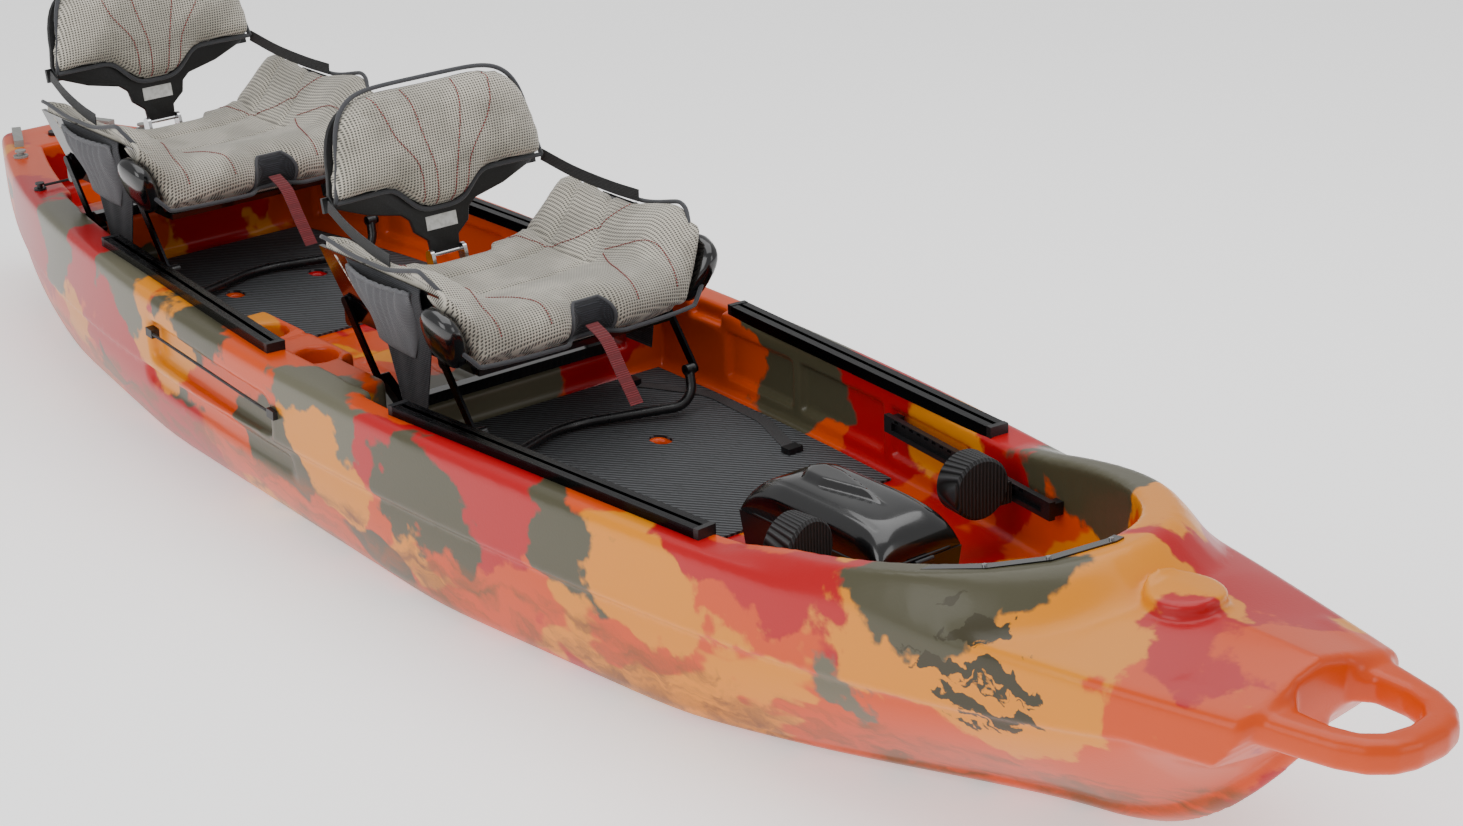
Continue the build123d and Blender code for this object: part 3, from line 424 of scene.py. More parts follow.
for w, shade, low in ((1.3, YELLOW, 0.56), (5.1, RED, 0.57), (9.7, OLIVE, 0.61)):
    patch = node(
        tree, "ShaderNodeTexNoise", noise_dimensions="4D", in_Vector=stretch.outputs[0], in_W=w,
        in_Scale=3.6, in_Detail=4.0
    )
    pigment = blend_colours(tree, pigment, shade, patch.outputs[0], low, low + 0.018)
for x, y, z, radius, shade in (
    (1.72, -0.20, 0.25, 0.22, ORANGE), (1.60, 0.22, 0.42, 0.17, RED), (1.80, 0.08, 0.42, 0.12, RED),
    (1.52, -0.24, 0.36, 0.17, YELLOW), (1.36, -0.36, 0.32, 0.13, YELLOW), (1.84, -0.08, 0.42, 0.10, RED),
    (1.64, -0.04, 0.44, 0.13, YELLOW), (1.83, -0.07, 0.41, 0.10, RED), (2.06, 0.00, 0.35, 0.19, ORANGE),
    (1.86, -0.24, 0.31, 0.11, ORANGE),
    (1.36, -0.27, 0.44, 0.11, OLIVE), (1.47, -0.14, 0.46, 0.085, OLIVE), (1.26, -0.36, 0.42, 0.07, OLIVE),
    (1.36, 0.17, 0.45, 0.11, YELLOW), (1.16, 0.24, 0.44, 0.13, OLIVE), (0.99, 0.34, 0.40, 0.10, OLIVE),
    (1.10, -0.42, 0.36, 0.13, RED), (0.93, -0.44, 0.35, 0.11, RED), (1.20, -0.40, 0.29, 0.09, RED),
    (0.78, -0.45, 0.36, 0.09, YELLOW), (0.64, -0.44, 0.33, 0.10, OLIVE), (0.70, -0.44, 0.27, 0.08, OLIVE),
    (0.86, -0.43, 0.25, 0.11, YELLOW), (1.02, -0.41, 0.23, 0.08, YELLOW), (0.36, -0.45, 0.33, 0.17, RED),
    (0.15, -0.45, 0.36, 0.12, RED), (0.22, -0.45, 0.24, 0.10, OLIVE), (-0.10, -0.44, 0.38, 0.13, PALE),
    (0.06, -0.41, 0.40, 0.06, ORANGE), (
        -0.10, -0.45, 0.24, 0.11, YELLOW
    ), (-0.48, -0.44, 0.28, 0.18, ORANGE),
    (-0.30, -0.45, 0.20, 0.10, OLIVE), (-0.62, -0.45, 0.37, 0.10, OLIVE), (
        -0.80, -0.44, 0.31, 0.13, YELLOW
    ),
    (-1.00, -0.43, 0.35, 0.12, PALE), (-0.98, -0.42, 0.22, 0.11, RED), (-1.22, -0.40, 0.35, 0.12, RED),
    (-1.45, -0.36, 0.36, 0.14, PALE), (-1.62, -0.28, 0.30, 0.13, RED), (0.55, 0.33, 0.32, 0.13, RED),
    (0.30, 0.34, 0.32, 0.13, OLIVE), (0.74, 0.33, 0.32, 0.10, YELLOW), (0.08, 0.33, 0.30, 0.10, ORANGE),
    (0.92, 0.32, 0.30, 0.09, RED), (-0.05, -0.12, 0.27, 0.20, PALE), (-0.08, 0.20, 0.28, 0.14, RED),
    (-1.20, 0.05, 0.33, 0.20, RED), (1.20, -0.15, 0.22, 0.14, PALE), (1.30, 0.10, 0.30, 0.12, ORANGE),
):
    reach = node(
        tree, "ShaderNodeVectorMath", operation="DISTANCE", in_0=squeezed.outputs[0],
        in_1=(0.72 * x, y, z)
    )
    pigment = blend_colours(tree, shade, pigment, reach.outputs["Value"], radius - 0.005, radius + 0.009)
grain = node(tree, "ShaderNodeMapping", in_Vector=shift.outputs[0])
grain.inputs["Rotation"].default_value = (0, 0.25, 0)
grain.inputs["Scale"].default_value = (1.2, 1.0, 4.2)
streaks = node(
    tree, "ShaderNodeTexNoise", noise_dimensions="4D", in_Vector=grain.outputs[0], in_W=2.2,
    in_Scale=7.0, in_Detail=6.0
)
bow = node(tree, "ShaderNodeVectorMath", operation="DISTANCE", in_0=place, in_1=(1.50, -0.36, 0.32))
near_bow = node(tree, "ShaderNodeMapRange", in_0=bow.outputs["Value"], in_1=0.30, in_2=0.14)
marbled = node(
    tree, "ShaderNodeMath", operation="MULTIPLY", in_0=near_bow.outputs[0], in_1=streaks.outputs[0]
)
pigment = blend_colours(tree, pigment, "#37321E", marbled.outputs[0], 0.49, 0.515)
# Brown streaks laid over the pigment, strongest at the bottom of the sides below the chine and fading out
# higher up.
height = node(tree, "ShaderNodeSeparateXYZ", in_Vector=place)
low_side = node(tree, "ShaderNodeMapRange", in_0=height.outputs[2], in_1=0.225, in_2=0.14)
low_side_streaks = node(
    tree, "ShaderNodeMath", operation="MULTIPLY", in_0=low_side.outputs[0], in_1=streaks.outputs[0]
)
pigment = blend_colours(tree, pigment, "#7A4419", low_side_streaks.outputs[0], 0.36, 0.70)
tree.links.new(pigment, shader.inputs["Base Color"])
skin = node(
    tree, "ShaderNodeTexNoise", noise_dimensions="4D", in_Vector=place, in_W=0.0,
    in_Scale=210.0, in_Detail=2.0
)
dimple = node(tree, "ShaderNodeBump", in_Height=skin.outputs[0])
dimple.inputs["Strength"].default_value = 0.12
dimple.inputs["Distance"].default_value = 0.0015
tree.links.new(dimple.outputs[0], shader.inputs["Normal"])

bpy.context.view_layer.update()
shaped = bpy.data.meshes.new_from_object(hull_piece.evaluated_get(bpy.context.evaluated_depsgraph_get()))
hull_piece.modifiers.clear()
hull_piece.data = shaped
shaped.shade_smooth()
shaped.materials.clear()
shaped.materials.append(camo)
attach(hull_piece, "hull")
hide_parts("hull")


# ---- Seat cushions ----
# Foam pads under a coarse warm-grey spacer mesh, bucket shaped, with a thick front roll.
# The mesh's holes sit about 6 mm apart across the seat and 5 mm along it.
SEATS = {"front": (0.0, 0.0), "rear": (-1.147, 0.035)}


def spacer_mesh(name, across, along):
    """Knitted spacer mesh: rounded holes in straight rows on a pale yarn face, each hole darkened with
    painted shade.
    """
    cloth, tree, shader = start_material(name, "#B4AFA3", 0.85, Sheen_Weight=0.25, Sheen_Roughness=0.5)
    place = node(tree, "ShaderNodeTexCoord").outputs["Object"]
    waves = []
    for axis, pitch in ((across, 0.0125), (along, 0.0105)):
        line = node(tree, "ShaderNodeVectorMath", operation="DOT_PRODUCT", in_0=place, in_1=axis)
        scaled = node(
            tree, "ShaderNodeMath", operation="MULTIPLY", in_0=line.outputs["Value"],
            in_1=2 * math.pi / pitch
        )
        waves.append(node(tree, "ShaderNodeMath", operation="SINE", in_0=scaled.outputs[0]))
    lattice = node(
        tree, "ShaderNodeMath", operation="MULTIPLY", in_0=waves[0].outputs[0], in_1=waves[1].outputs[0]
    )
    hole = node(tree, "ShaderNodeMath", operation="ABSOLUTE", in_0=lattice.outputs[0])
    spread = node(
        tree, "ShaderNodeTexNoise", noise_dimensions="4D", in_Vector=place, in_W=0.0,
        in_Scale=9.0, in_Detail=3.0
    )
    shade = blend_colours(tree, "#C6C0B2", "#AAA598", spread.outputs[0], 0.4, 0.62)
    # The dark grey inside each hole is painted shade.
    tree.links.new(
        blend_colours(tree, shade, "#4A4842", hole.outputs[0], 0.38, 0.72), shader.inputs["Base Color"]
    )
    dent = node(tree, "ShaderNodeBump", in_Height=hole.outputs[0], in_Distance=0.002, invert=True)
    dent.inputs["Strength"].default_value = 0.7
    tree.links.new(dent.outputs[0], shader.inputs["Normal"])
    return cloth


flat_mesh = spacer_mesh("spacer mesh, seat cushion", (0, 1, 0), (0.8, 0, -0.8))
upright_mesh = spacer_mesh("spacer mesh, backrest", (0, 1, 0), (-0.4, 0, 0.95))


def new_piece(name, points, faces, material, body, stands_for=(), smooth=True):
    """A piece at the origin, with its faces turned outward, riding on a CAD body."""
    data = bpy.data.meshes.new(name)
    data.from_pydata([tuple(p) for p in points], [], faces)
    work = bmesh.new()
    work.from_mesh(data)
    bmesh.ops.remove_doubles(work, verts=work.verts, dist=1e-6)
    bmesh.ops.recalc_face_normals(work, faces=work.faces)
    work.to_mesh(data)
    work.free()
    piece = bpy.data.objects.new(name, data)
    bpy.context.scene.collection.objects.link(piece)
    data.materials.append(material)
    if smooth:
        data.shade_smooth()
    return settle(piece, body, stands_for)


def settle(piece, body, stands_for=()):
    """Rides a finished piece on its body and hides the CAD parts it stands for."""
    if body:
        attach(piece, body)
    for other in stands_for:
        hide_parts(other)
    return piece


def bake(piece):
    """Turns a piece's modifiers into its mesh."""
    bpy.context.view_layer.update()
    done = bpy.data.meshes.new_from_object(piece.evaluated_get(bpy.context.evaluated_depsgraph_get()))
    piece.modifiers.clear()
    piece.data = done
    done.shade_smooth()
    return piece


def puff(piece, voxel, cap, hold):
    """Remeshes a pad, swells it with cloth pressure, caps the swelling and keeps it off its backing."""
    remesh = piece.modifiers.new("remesh", "REMESH")
    remesh.mode = "VOXEL"
    remesh.voxel_size = voxel
    bake(piece)
    before = np.array([v.co for v in piece.data.vertices])
    group = piece.vertex_groups.new(name="held")
    for i in np.nonzero(hold(before))[0]:
        group.add([int(i)], 1.0, "REPLACE")
    cloth = piece.modifiers.new("cloth", "CLOTH")
    cloth.settings.use_pressure = True
    cloth.settings.uniform_pressure_force = 4
    cloth.settings.quality = 4
    cloth.settings.vertex_group_mass = "held"
    cloth.settings.effector_weights.gravity = 0
    cloth.point_cache.frame_start = 1
    cloth.point_cache.frame_end = 20
    for step in range(1, 21):
        bpy.context.scene.frame_set(step)
    bake(piece)
    bpy.context.scene.frame_set(1)
    after = np.array([v.co for v in piece.data.vertices])
    moved = after - before
    size = np.linalg.norm(moved, axis=1, keepdims=True)
    after = before + moved * np.minimum(1, cap / np.maximum(size, 1e-9))
    after[hold(before)] = before[hold(before)]
    piece.data.vertices.foreach_set("co", after.astype(np.float32).ravel())
    piece.data.update()
    finer = piece.modifiers.new("finer", "SUBSURF")
    finer.levels = finer.render_levels = 1
    return bake(piece)


def cushion_top(x, y):
    """Height of the cushion: a dish behind a thick front roll, with raised hips."""
    roll = 0.483 + 0.034 * ease(x, -0.10, 0.10) + 0.012 * ease(-x, 0.18, 0.30)
    hips = 0.100 * ease(np.abs(y), 0.13, 0.30) ** 1.15 * (1 - 0.92 * ease(x, 0.03, 0.150))
    return roll + hips


rows, loops = 49, []
for i in range(rows):
    u = -1 + 2 * i / (rows - 1)
    y = 0.296 * math.sin(u * math.pi / 2 * 0.96) / math.sin(math.pi / 2 * 0.96)
    pull = abs(u) ** 7
    front = 0.168 - 0.055 * abs(u) ** 2.6 + 0.008 * math.cos(y * 9)
    back = -0.322 + 0.03 * pull
    arch = math.exp(-((y / 0.052) ** 6))
    front = front - 0.030 * arch
    notch = ease(np.array(0.088 - abs(y)), 0, 0.02)
    back = back + 0.036 * float(notch)
    top = [(back + (front - 0.035 - back) * j / 16) for j in range(17)]
    loop = [(x, y, float(cushion_top(np.array(x), np.array(y)))) for x in top]
    z0 = loop[-1][2]
    side = max(0.4165, 0.4165 + (abs(y) - 0.232) / 0.4118)
    drop = 0.432 if abs(y) < 0.24 else max(0.432, side)
    for j in range(1, 9):
        a = math.pi * j / 9
        half = (z0 - drop) / 2
        loop.append((front - 0.035 + 0.038 * math.sin(a), y, z0 - half + half * math.cos(a)))
    loop.append((0.112, y, max(drop, side + 0.001)))
    for j in range(7):
        x = 0.100 + (back - 0.100) * j / 6
        low = side + 0.0005
        loop.append((x, y, min(low, float(cushion_top(np.array(x), np.array(y))) - 0.02)))
    loops.append(loop)
count = len(loops[0])
verts = [p for loop in loops for p in loop]
faces = [(i * count + j, (i + 1) * count + j, (i + 1) * count + (j + 1) % count, i * count + (j + 1) % count)
         for i in range(rows - 1) for j in range(count)]
faces.append(tuple(range(count)))
faces.append(tuple((rows - 1) * count + j for j in range(count)))
seat_pad = new_piece("front_seat_pad", verts, faces, flat_mesh, None)
puff(
    seat_pad, 0.0075, 0.008,
    lambda v: (v[:, 2] < 0.4165 + np.maximum(0, (np.abs(v[:, 1]) - 0.232) / 0.4118) + 0.006)
    & (v[:, 0] < 0.11)
)
co = np.array([v.co for v in seat_pad.data.vertices])
seam = np.zeros(len(co))
for centre, bend, width in ((-0.055, 1.3, 0.008), (-0.19, 0.9, 0.008)):
    gap = np.abs(co[:, 0] - centre + bend * co[:, 1] ** 2)
    seam = np.maximum(seam, np.exp(-((gap / width) ** 2)))
gap = np.abs(np.abs(co[:, 1]) - 0.155 - 0.5 * (co[:, 0] + 0.1) ** 2)
seam = np.maximum(seam, np.exp(-((gap / 0.007) ** 2)) * (co[:, 0] < -0.05))
top_side = ease(co[:, 2], 0.455, 0.475)
co[:, 2] -= 0.008 * seam * top_side
seat_pad.data.vertices.foreach_set("co", co.astype(np.float32).ravel())
seat_pad.data.update()

# ---- Backrest pads ----
# The same mesh over foam, with a drooping middle edge and big rounded shoulders. Each is
# built upright about the recline pin and then leaned back 11 degrees.
LEAN = math.radians(11)
PIVOT = Vector((-0.335, 0, 0.486))


def leaned(points):
    """Upright backrest points, leaned back about the pin."""
    turn = Matrix.Rotation(-LEAN, 3, "Y")
    return [tuple(turn @ Vector(p) + PIVOT) for p in points]


def pad_edges(u):
    """Bottom and top height of the back pad at a share u of its half width."""
    shoulder = (1 - abs(u) ** 6) ** 0.42 if abs(u) < 1 else 0.0
    droop = 0.056 * math.exp(-((u / 0.34) ** 4))
    return 0.152 - droop, 0.205 + 0.145 * shoulder


rows, across_n, loops = 45, 15, []
for i in range(rows):
    u = -1 + 2 * i / (rows - 1)
    u = math.sin(u * math.pi / 2)
    low, high = pad_edges(u * 0.9995)
    loop = []
    for j in range(across_n):
        v = j / (across_n - 1)
        z = low + (high - low) * v
        y = u * (0.240 + 0.008 * math.sin(v * math.pi) - 0.018 * v)
        belly = 0.044 * (1 - abs(2 * v - 1) ** 4) ** 0.5 * (1 - abs(u) ** 8) ** 0.5
        loop.append((0.006 + belly + 0.016 * u * u, y, z))
    for j in range(across_n - 2, 0, -1):
        v = j / (across_n - 1)
        z = low + (high - low) * v
        loop.append((0.0035, u * (0.240 + 0.008 * math.sin(v * math.pi) - 0.018 * v), z))
    loops.append(loop)
count = len(loops[0])
verts = leaned([p for loop in loops for p in loop])
faces = [(i * count + j, (i + 1) * count + j, (i + 1) * count + (j + 1) % count, i * count + (j + 1) % count)
         for i in range(rows - 1) for j in range(count)]
faces.append(tuple(range(count)))
faces.append(tuple((rows - 1) * count + j for j in range(count)))
back_pad = new_piece("front_back_pad", verts, faces, upright_mesh, None)
behind = Matrix.Rotation(-LEAN, 3, "Y") @ Vector((1, 0, 0))


def against_board(v):
    return (v - np.array(PIVOT)) @ np.array(behind) < 0.007


puff(back_pad, 0.0075, 0.008, against_board)


def twin(piece, name, body, stands_for=()):
    """The rear seat's copy of a front-seat piece."""
    copy = bpy.data.objects.new(name, piece.data.copy())
    bpy.context.scene.collection.objects.link(copy)
    dx, dz = SEATS["rear"]
    copy.data.transform(Matrix.Translation((dx, 0, dz)))
    return settle(copy, body, stands_for)


for front, rear, body, stood, slot in (
    (seat_pad, "rear_seat_pad", "seat", "seat_cushion", "seat_mesh"),
    (back_pad, "rear_back_pad", "backrest", "seat_back_cushion", "seat_mesh"),
):
    other = twin(front, rear, f"rear_{body}", [f"rear_{stood}"])
    settle(front, f"front_{body}", [f"front_{stood}"])


def on_surface(tree, path, direction, lift):
    """Points of a path carried along a direction onto a surface, and lifted off it."""
    found = []
    for p in path:
        hit, normal, _, _ = tree.ray_cast(Vector(p) - direction * 0.5, direction)
        if hit is not None:
            found.append(hit + normal * lift)
    return found


def smooth_path(points, steps):
    """A Catmull-Rom line through a few points."""
    pts = [Vector(p) for p in points]
    pts = [2 * pts[0] - pts[1]] + pts + [2 * pts[-1] - pts[-2]]
    line = []
    for i in range(1, len(pts) - 2):
        p0, p1, p2, p3 = pts[i - 1:i + 3]
        for k in range(steps):
            t = k / steps
            line.append(
                0.5 * ((2 * p1) + (p2 - p0) * t + (2 * p0 - 5 * p1 + 4 * p2 - p3) * t * t
                       + (3 * p1 - p0 - 3 * p2 + p3) * t ** 3)
            )
    return line + [pts[-2]]


def round_tube(name, lines, radius, material, body, sides=8, closed=False, stands_for=()):
    """Round tubes or cords along dense lines of points, as one mesh."""
    verts, faces = [], []
    for line in lines:
        start = len(verts)
        n = len(line)
        prev = None
        for i, p in enumerate(line):
            ahead = line[(i + 1) % n] if closed else line[min(i + 1, n - 1)]
            behind_p = line[i - 1] if (closed or i) else line[0]
            d = (Vector(ahead) - Vector(behind_p)).normalized()
            if prev is None:
                prev = d.cross(Vector((0.3, 0.2, 1))).normalized()
            prev = (prev - d * prev.dot(d)).normalized()
            third = d.cross(prev)
            for k in range(sides):
                a = 2 * math.pi * k / sides
                verts.append(Vector(p) + (prev * math.cos(a) + third * math.sin(a)) * radius)
        for i in range(n if closed else n - 1):
            for k in range(sides):
                a, b2 = start + i * sides + k, start + i * sides + (k + 1) % sides
                c, d2 = start + ((i + 1) % n) * sides + (k + 1) % sides, start + ((i + 1) % n) * sides + k
                faces.append((a, b2, c, d2))
        if not closed:
            faces.append(tuple(start + k for k in range(sides)))
            faces.append(tuple(start + (n - 1) * sides + k for k in range(sides)))
    return new_piece(name, verts, faces, material, body, stands_for)


def flat_tape(name, line, width_dirs, width, thick, material, body, stands_for=()):
    """A flat strap along a line, its width along the given directions."""
    verts, faces = [], []
    n = len(line)
    for i, p in enumerate(line):
        d = (Vector(line[min(i + 1, n - 1)]) - Vector(line[max(i - 1, 0)])).normalized()
        w = Vector(width_dirs[i] if isinstance(width_dirs, list) else width_dirs)
        w = (w - d * w.dot(d)).normalized()
        up = d.cross(w)
        for a, c in ((1, 1), (-1, 1), (-1, -1), (1, -1)):
            verts.append(Vector(p) + w * (a * width / 2) + up * (c * thick / 2))
    for i in range(n - 1):
        for k in range(4):
            faces.append((4 * i + k, 4 * i + (k + 1) % 4, 4 * i + 4 + (k + 1) % 4, 4 * i + 4 + k))
    faces.append((0, 1, 2, 3))
    faces.append(tuple(4 * (n - 1) + k for k in range(4)))
    return new_piece(name, verts, faces, material, body, stands_for, smooth=False)


# ---- Stitching and piping ----
# Dark red top-stitching, one stitch every 6 mm, set along each line by a node tree, and a
# charcoal bound edge round each pad. The thread is too thin for its twist to show.
thread, _, _ = start_material("polyester stitching thread, dark red", "#7A0C14", 0.6)
binding, tree, shader = start_material("polyester binding tape, charcoal", "#3A3B3F", 0.8, Sheen_Weight=0.2)
fuzz = node(tree, "ShaderNodeTexNoise", in_Vector=node(tree, "ShaderNodeTexCoord").outputs["Object"])
fuzz.inputs["Scale"].default_value = 600
grain = node(tree, "ShaderNodeBump", in_Height=fuzz.outputs[0])
grain.inputs["Distance"].default_value = 0.0006
tree.links.new(grain.outputs[0], shader.inputs["Normal"])


def stitch_tree():
    """Stitches of a given length, set along a curve at a given spacing."""
    group = bpy.data.node_groups.new("stitches along a seam", "GeometryNodeTree")
    group.interface.new_socket("Geometry", in_out="INPUT", socket_type="NodeSocketGeometry")
    for label, value in (("Spacing", 0.0062), ("Length", 0.0052), ("Thickness", 0.0024)):
        group.interface.new_socket(
            label, in_out="INPUT", socket_type="NodeSocketFloat"
        ).default_value = value
    group.interface.new_socket("Geometry", in_out="OUTPUT", socket_type="NodeSocketGeometry")
    given = group.nodes.new("NodeGroupInput")
    spaced = node(group, "GeometryNodeResampleCurve", mode="LENGTH")
    group.links.new(given.outputs["Geometry"], spaced.inputs["Curve"])
    group.links.new(given.outputs["Spacing"], spaced.inputs["Length"])
    stitch = node(group, "GeometryNodeMeshIcoSphere", in_Radius=0.5, in_Subdivisions=2)
    size = node(group, "ShaderNodeCombineXYZ")
    group.links.new(given.outputs["Thickness"], size.inputs[0])
    group.links.new(given.outputs["Thickness"], size.inputs[1])
    group.links.new(given.outputs["Length"], size.inputs[2])
    turn = node(
        group, "FunctionNodeAlignRotationToVector", axis="Z",
        in_Vector=node(group, "GeometryNodeInputTangent").outputs[0]
    )
    laid = node(
        group, "GeometryNodeInstanceOnPoints", in_Points=spaced.outputs[0],
        in_Instance=stitch.outputs[0], in_Rotation=turn.outputs[0], in_Scale=size.outputs[0]
    )
    real = node(group, "GeometryNodeRealizeInstances", in_Geometry=laid.outputs[0])
    coloured = node(group, "GeometryNodeSetMaterial", in_Geometry=real.outputs[0])
    coloured.inputs["Material"].default_value = thread
    out = group.nodes.new("NodeGroupOutput")
    group.links.new(coloured.outputs[0], out.inputs[0])
    return group


STITCHES = stitch_tree()


def sew(name, lines, body):
    """Stitches along several lines, as one mesh."""
    data = bpy.data.curves.new(name + "_line", "CURVE")
    data.dimensions = "3D"
    for line in lines:
        spline = data.splines.new("POLY")
        spline.points.add(len(line) - 1)
        for point, p in zip(spline.points, line):
            point.co = (*p, 1)
    guide = bpy.data.objects.new(name + "_line", data)
    bpy.context.scene.collection.objects.link(guide)
    guide.modifiers.new("stitches", "NODES").node_group = STITCHES
    bpy.context.view_layer.update()
    done = bpy.data.meshes.new_from_object(guide.evaluated_get(bpy.context.evaluated_depsgraph_get()))
    bpy.data.objects.remove(guide)
    piece = bpy.data.objects.new(name, done)
    bpy.context.scene.collection.objects.link(piece)
    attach(piece, body)
    return piece


def shifted(points, seat):
    dx, dz = SEATS[seat]
    return [Vector(p) + Vector((dx, 0, dz)) for p in points]


down = Vector((0, 0, -1))
into_back = -(Matrix.Rotation(-LEAN, 3, "Y") @ Vector((1, 0, 0)))
cushion_tree = BVHTree.FromObject(seat_pad, bpy.context.evaluated_depsgraph_get())
back_tree = BVHTree.FromObject(back_pad, bpy.context.evaluated_depsgraph_get())
top_lines = []
for side in (1, -1):
    for path in (
        [
            (0.176, side * 0.10, 0.5), (0.12, side * 0.105, 0.5), (0.05, side * 0.13, 0.5),
            (-0.045, side * 0.175, 0.5)
        ],
        [
            (0.150, side * 0.205, 0.5), (0.09, side * 0.215, 0.5), (0.02, side * 0.20, 0.5),
            (-0.05, side * 0.185, 0.5)
        ],
        [
            (-0.30, side * 0.13, 0.5), (-0.22, side * 0.15, 0.5), (-0.14, side * 0.20, 0.5),
            (-0.08, side * 0.27, 0.5)
        ],
    ):
        top_lines.append(on_surface(cushion_tree, smooth_path(path, 14), down, 0.0010))
back_lines = []
for side in (1, -1):
    for path in (
        [
            (0, side * 0.135, 0.335), (0, side * 0.110, 0.26), (0, side * 0.062, 0.19),
            (0, side * 0.048, 0.115)
        ],
        [
            (0, side * 0.060, 0.342), (0, side * 0.046, 0.26), (0, side * 0.026, 0.18),
            (0, side * 0.018, 0.105)
        ],
    ):
        line = [Vector(p) for p in leaned(smooth_path(path, 14))]
        back_lines.append(on_surface(back_tree, line, into_back, 0.0010))
for seat in SEATS:
    sew(f"{seat}_cushion_stitching", [shifted(line, seat) for line in top_lines], f"{seat}_seat")
    sew(f"{seat}_back_stitching", [shifted(line, seat) for line in back_lines], f"{seat}_backrest")

edge = []
for i in range(81):
    u = math.sin((-1 + 2 * i / 80) * math.pi / 2)
    low, high = pad_edges(u * 0.9995)
    edge.append((0.012 + 0.014 * u * u, u * 0.243, low - 0.003))
for i in range(1, 60):
    u = math.sin((1 - 2 * i / 60) * math.pi / 2)
    low, high = pad_edges(u * 0.9995)
    edge.append((0.012 + 0.014 * u * u, u * (0.243 - 0.018), high + 0.003))
for seat in SEATS:
    round_tube(
        f"{seat}_back_piping", [shifted(leaned(edge), seat)], 0.0048, binding, f"{seat}_backrest",
        closed=True
    )
hem = []
for i in range(61):
    u = -1 + 2 * i / 60
    y = 0.297 * math.sin(u * math.pi / 2 * 0.96) / math.sin(math.pi / 2 * 0.96)
    front = 0.168 - 0.055 * abs(u) ** 2.6 - 0.006
    height = 0.436 if abs(y) < 0.25 else 0.436 + (abs(y) - 0.25) * 1.1
    hem.append((front - 0.030 * math.exp(-((y / 0.052) ** 6)), y, height))
side_hem = {
    side: [
        (
            x,
            side * (0.303 - 0.03 * float(ease(np.array(x), 0.05, 0.12))),
            float(cushion_top(np.array(x), np.array(0.296))) + 0.001,
        )
        for x in np.linspace(0.112, -0.30, 24)
    ]
    for side in (1, -1)
}
for seat in SEATS:
    lines = [shifted(smooth_path(hem, 2), seat)] + [
        shifted(smooth_path(side_hem[s2], 2), seat) for s2 in (1, -1)
    ]
    round_tube(f"{seat}_cushion_piping", lines, 0.0045, binding, f"{seat}_seat")

# ---- Seat wings, pouches and straps ----
# Black oxford cloth hangs from each hip to the rail, a grey elastic-topped cloth pouch is
# sewn on its outside, and webbing runs from the backrest buckles to the hips.
def woven(name, colour, second, pitch, roughness=0.8, angle=0.0):
    """Plain-weave cloth: fine crossing threads in two shades."""
    cloth, tree, shader = start_material(name, colour, roughness, Sheen_Weight=0.15)
    turned = node(tree, "ShaderNodeMapping", in_Vector=node(tree, "ShaderNodeTexCoord").outputs["Object"])
    turned.inputs["Rotation"].default_value = (angle, angle, angle)
    weft = node(
        tree, "ShaderNodeTexWave", in_Vector=turned.outputs[0], in_Scale=0.31 / pitch, in_Distortion=0.4,
        bands_direction="X"
    )
    warp = node(
        tree, "ShaderNodeTexWave", in_Vector=turned.outputs[0], in_Scale=0.31 / pitch, in_Distortion=0.4,
        bands_direction="Z"
    )
    cross = node(tree, "ShaderNodeMath", operation="MULTIPLY", in_0=weft.outputs[1], in_1=warp.outputs[1])
    tree.links.new(
        blend_colours(tree, colour, second, cross.outputs[0], 0.2, 0.8), shader.inputs["Base Color"]
    )
    raised = node(tree, "ShaderNodeBump", in_Height=cross.outputs[0], in_Distance=0.001)
    tree.links.new(raised.outputs[0], shader.inputs["Normal"])
    return cloth


# The number after the two shades is the thread spacing in metres, coarser than the real one
# wherever that is too fine to show.
oxford = woven("oxford cloth, blue-black", "#101218", "#1C2029", 0.004)
pouch_cloth = woven("pouch cloth, grey marl", "#5C5D61", "#7E7E80", 0.0012, angle=0.6)
webbing = woven("polyester webbing, black", "#0D0D0F", "#232327", 0.003)
red_webbing = woven("polyester webbing, dark red", "#5A0710", "#7E141E", 0.003)


def draped(name, outline, skin_y, thick, material, folds):
    """A hanging panel: outline in x and z, its y by skin_y, with soft folds and two faces."""
    top_edge, low_edge = outline
    verts, faces, nx, nz = [], [], 64, 26
    for layer in (0, 1):
        for j in range(nz):
            t = j / (nz - 1)
            for i in range(nx):
                s2 = i / (nx - 1)
                x0, z0 = (a + (b - a) * s2 for a, b in zip(top_edge[0], top_edge[1]))
                x1, z1 = (a + (b - a) * s2 for a, b in zip(low_edge[0], low_edge[1]))
                x = x0 + (x1 - x0) * t ** 0.85
                z = z0 + (z1 - z0) * t
                y = skin_y(x, z, s2, t) + (
                    folds * math.sin(s2 * 15 + t * 3) * math.sin(math.pi * t) * (1 - 0.5 * t)
                )
                verts.append((x, y + layer * thick, z))
    for layer in (0, 1):
        for j in range(nz - 1):
            for i in range(nx - 1):
                a = layer * nx * nz + j * nx + i
                faces.append((a, a + 1, a + nx + 1, a + nx))
    n = nx * nz
    ring = [i for i in range(nx)] + [j * nx + nx - 1 for j in range(1, nz)]
    ring += [(nz - 1) * nx + i for i in range(nx - 2, -1, -1)] + [j * nx for j in range(nz - 2, 0, -1)]
    for a, b in zip(ring, ring[1:] + ring[:1]):
        faces.append((a, b, b + n, a + n))
    pieces = []
    for seat, (dx, dz) in SEATS.items():
        both = [(x + dx, side * y, z + dz) for side in (1, -1) for x, y, z in verts]
        all_faces = faces + [tuple(v + len(verts) for v in face) for face in faces]
        label = f"{seat}_{name}"
        pieces.append(new_piece(label, both, all_faces, material, None))
    return pieces


def hip(x, z, s2, t):
    """The panel's distance from the middle: out at the hip, in at the link."""
    return 0.2655 + 0.037 * float(ease(np.array(z), 0.44, 0.575))


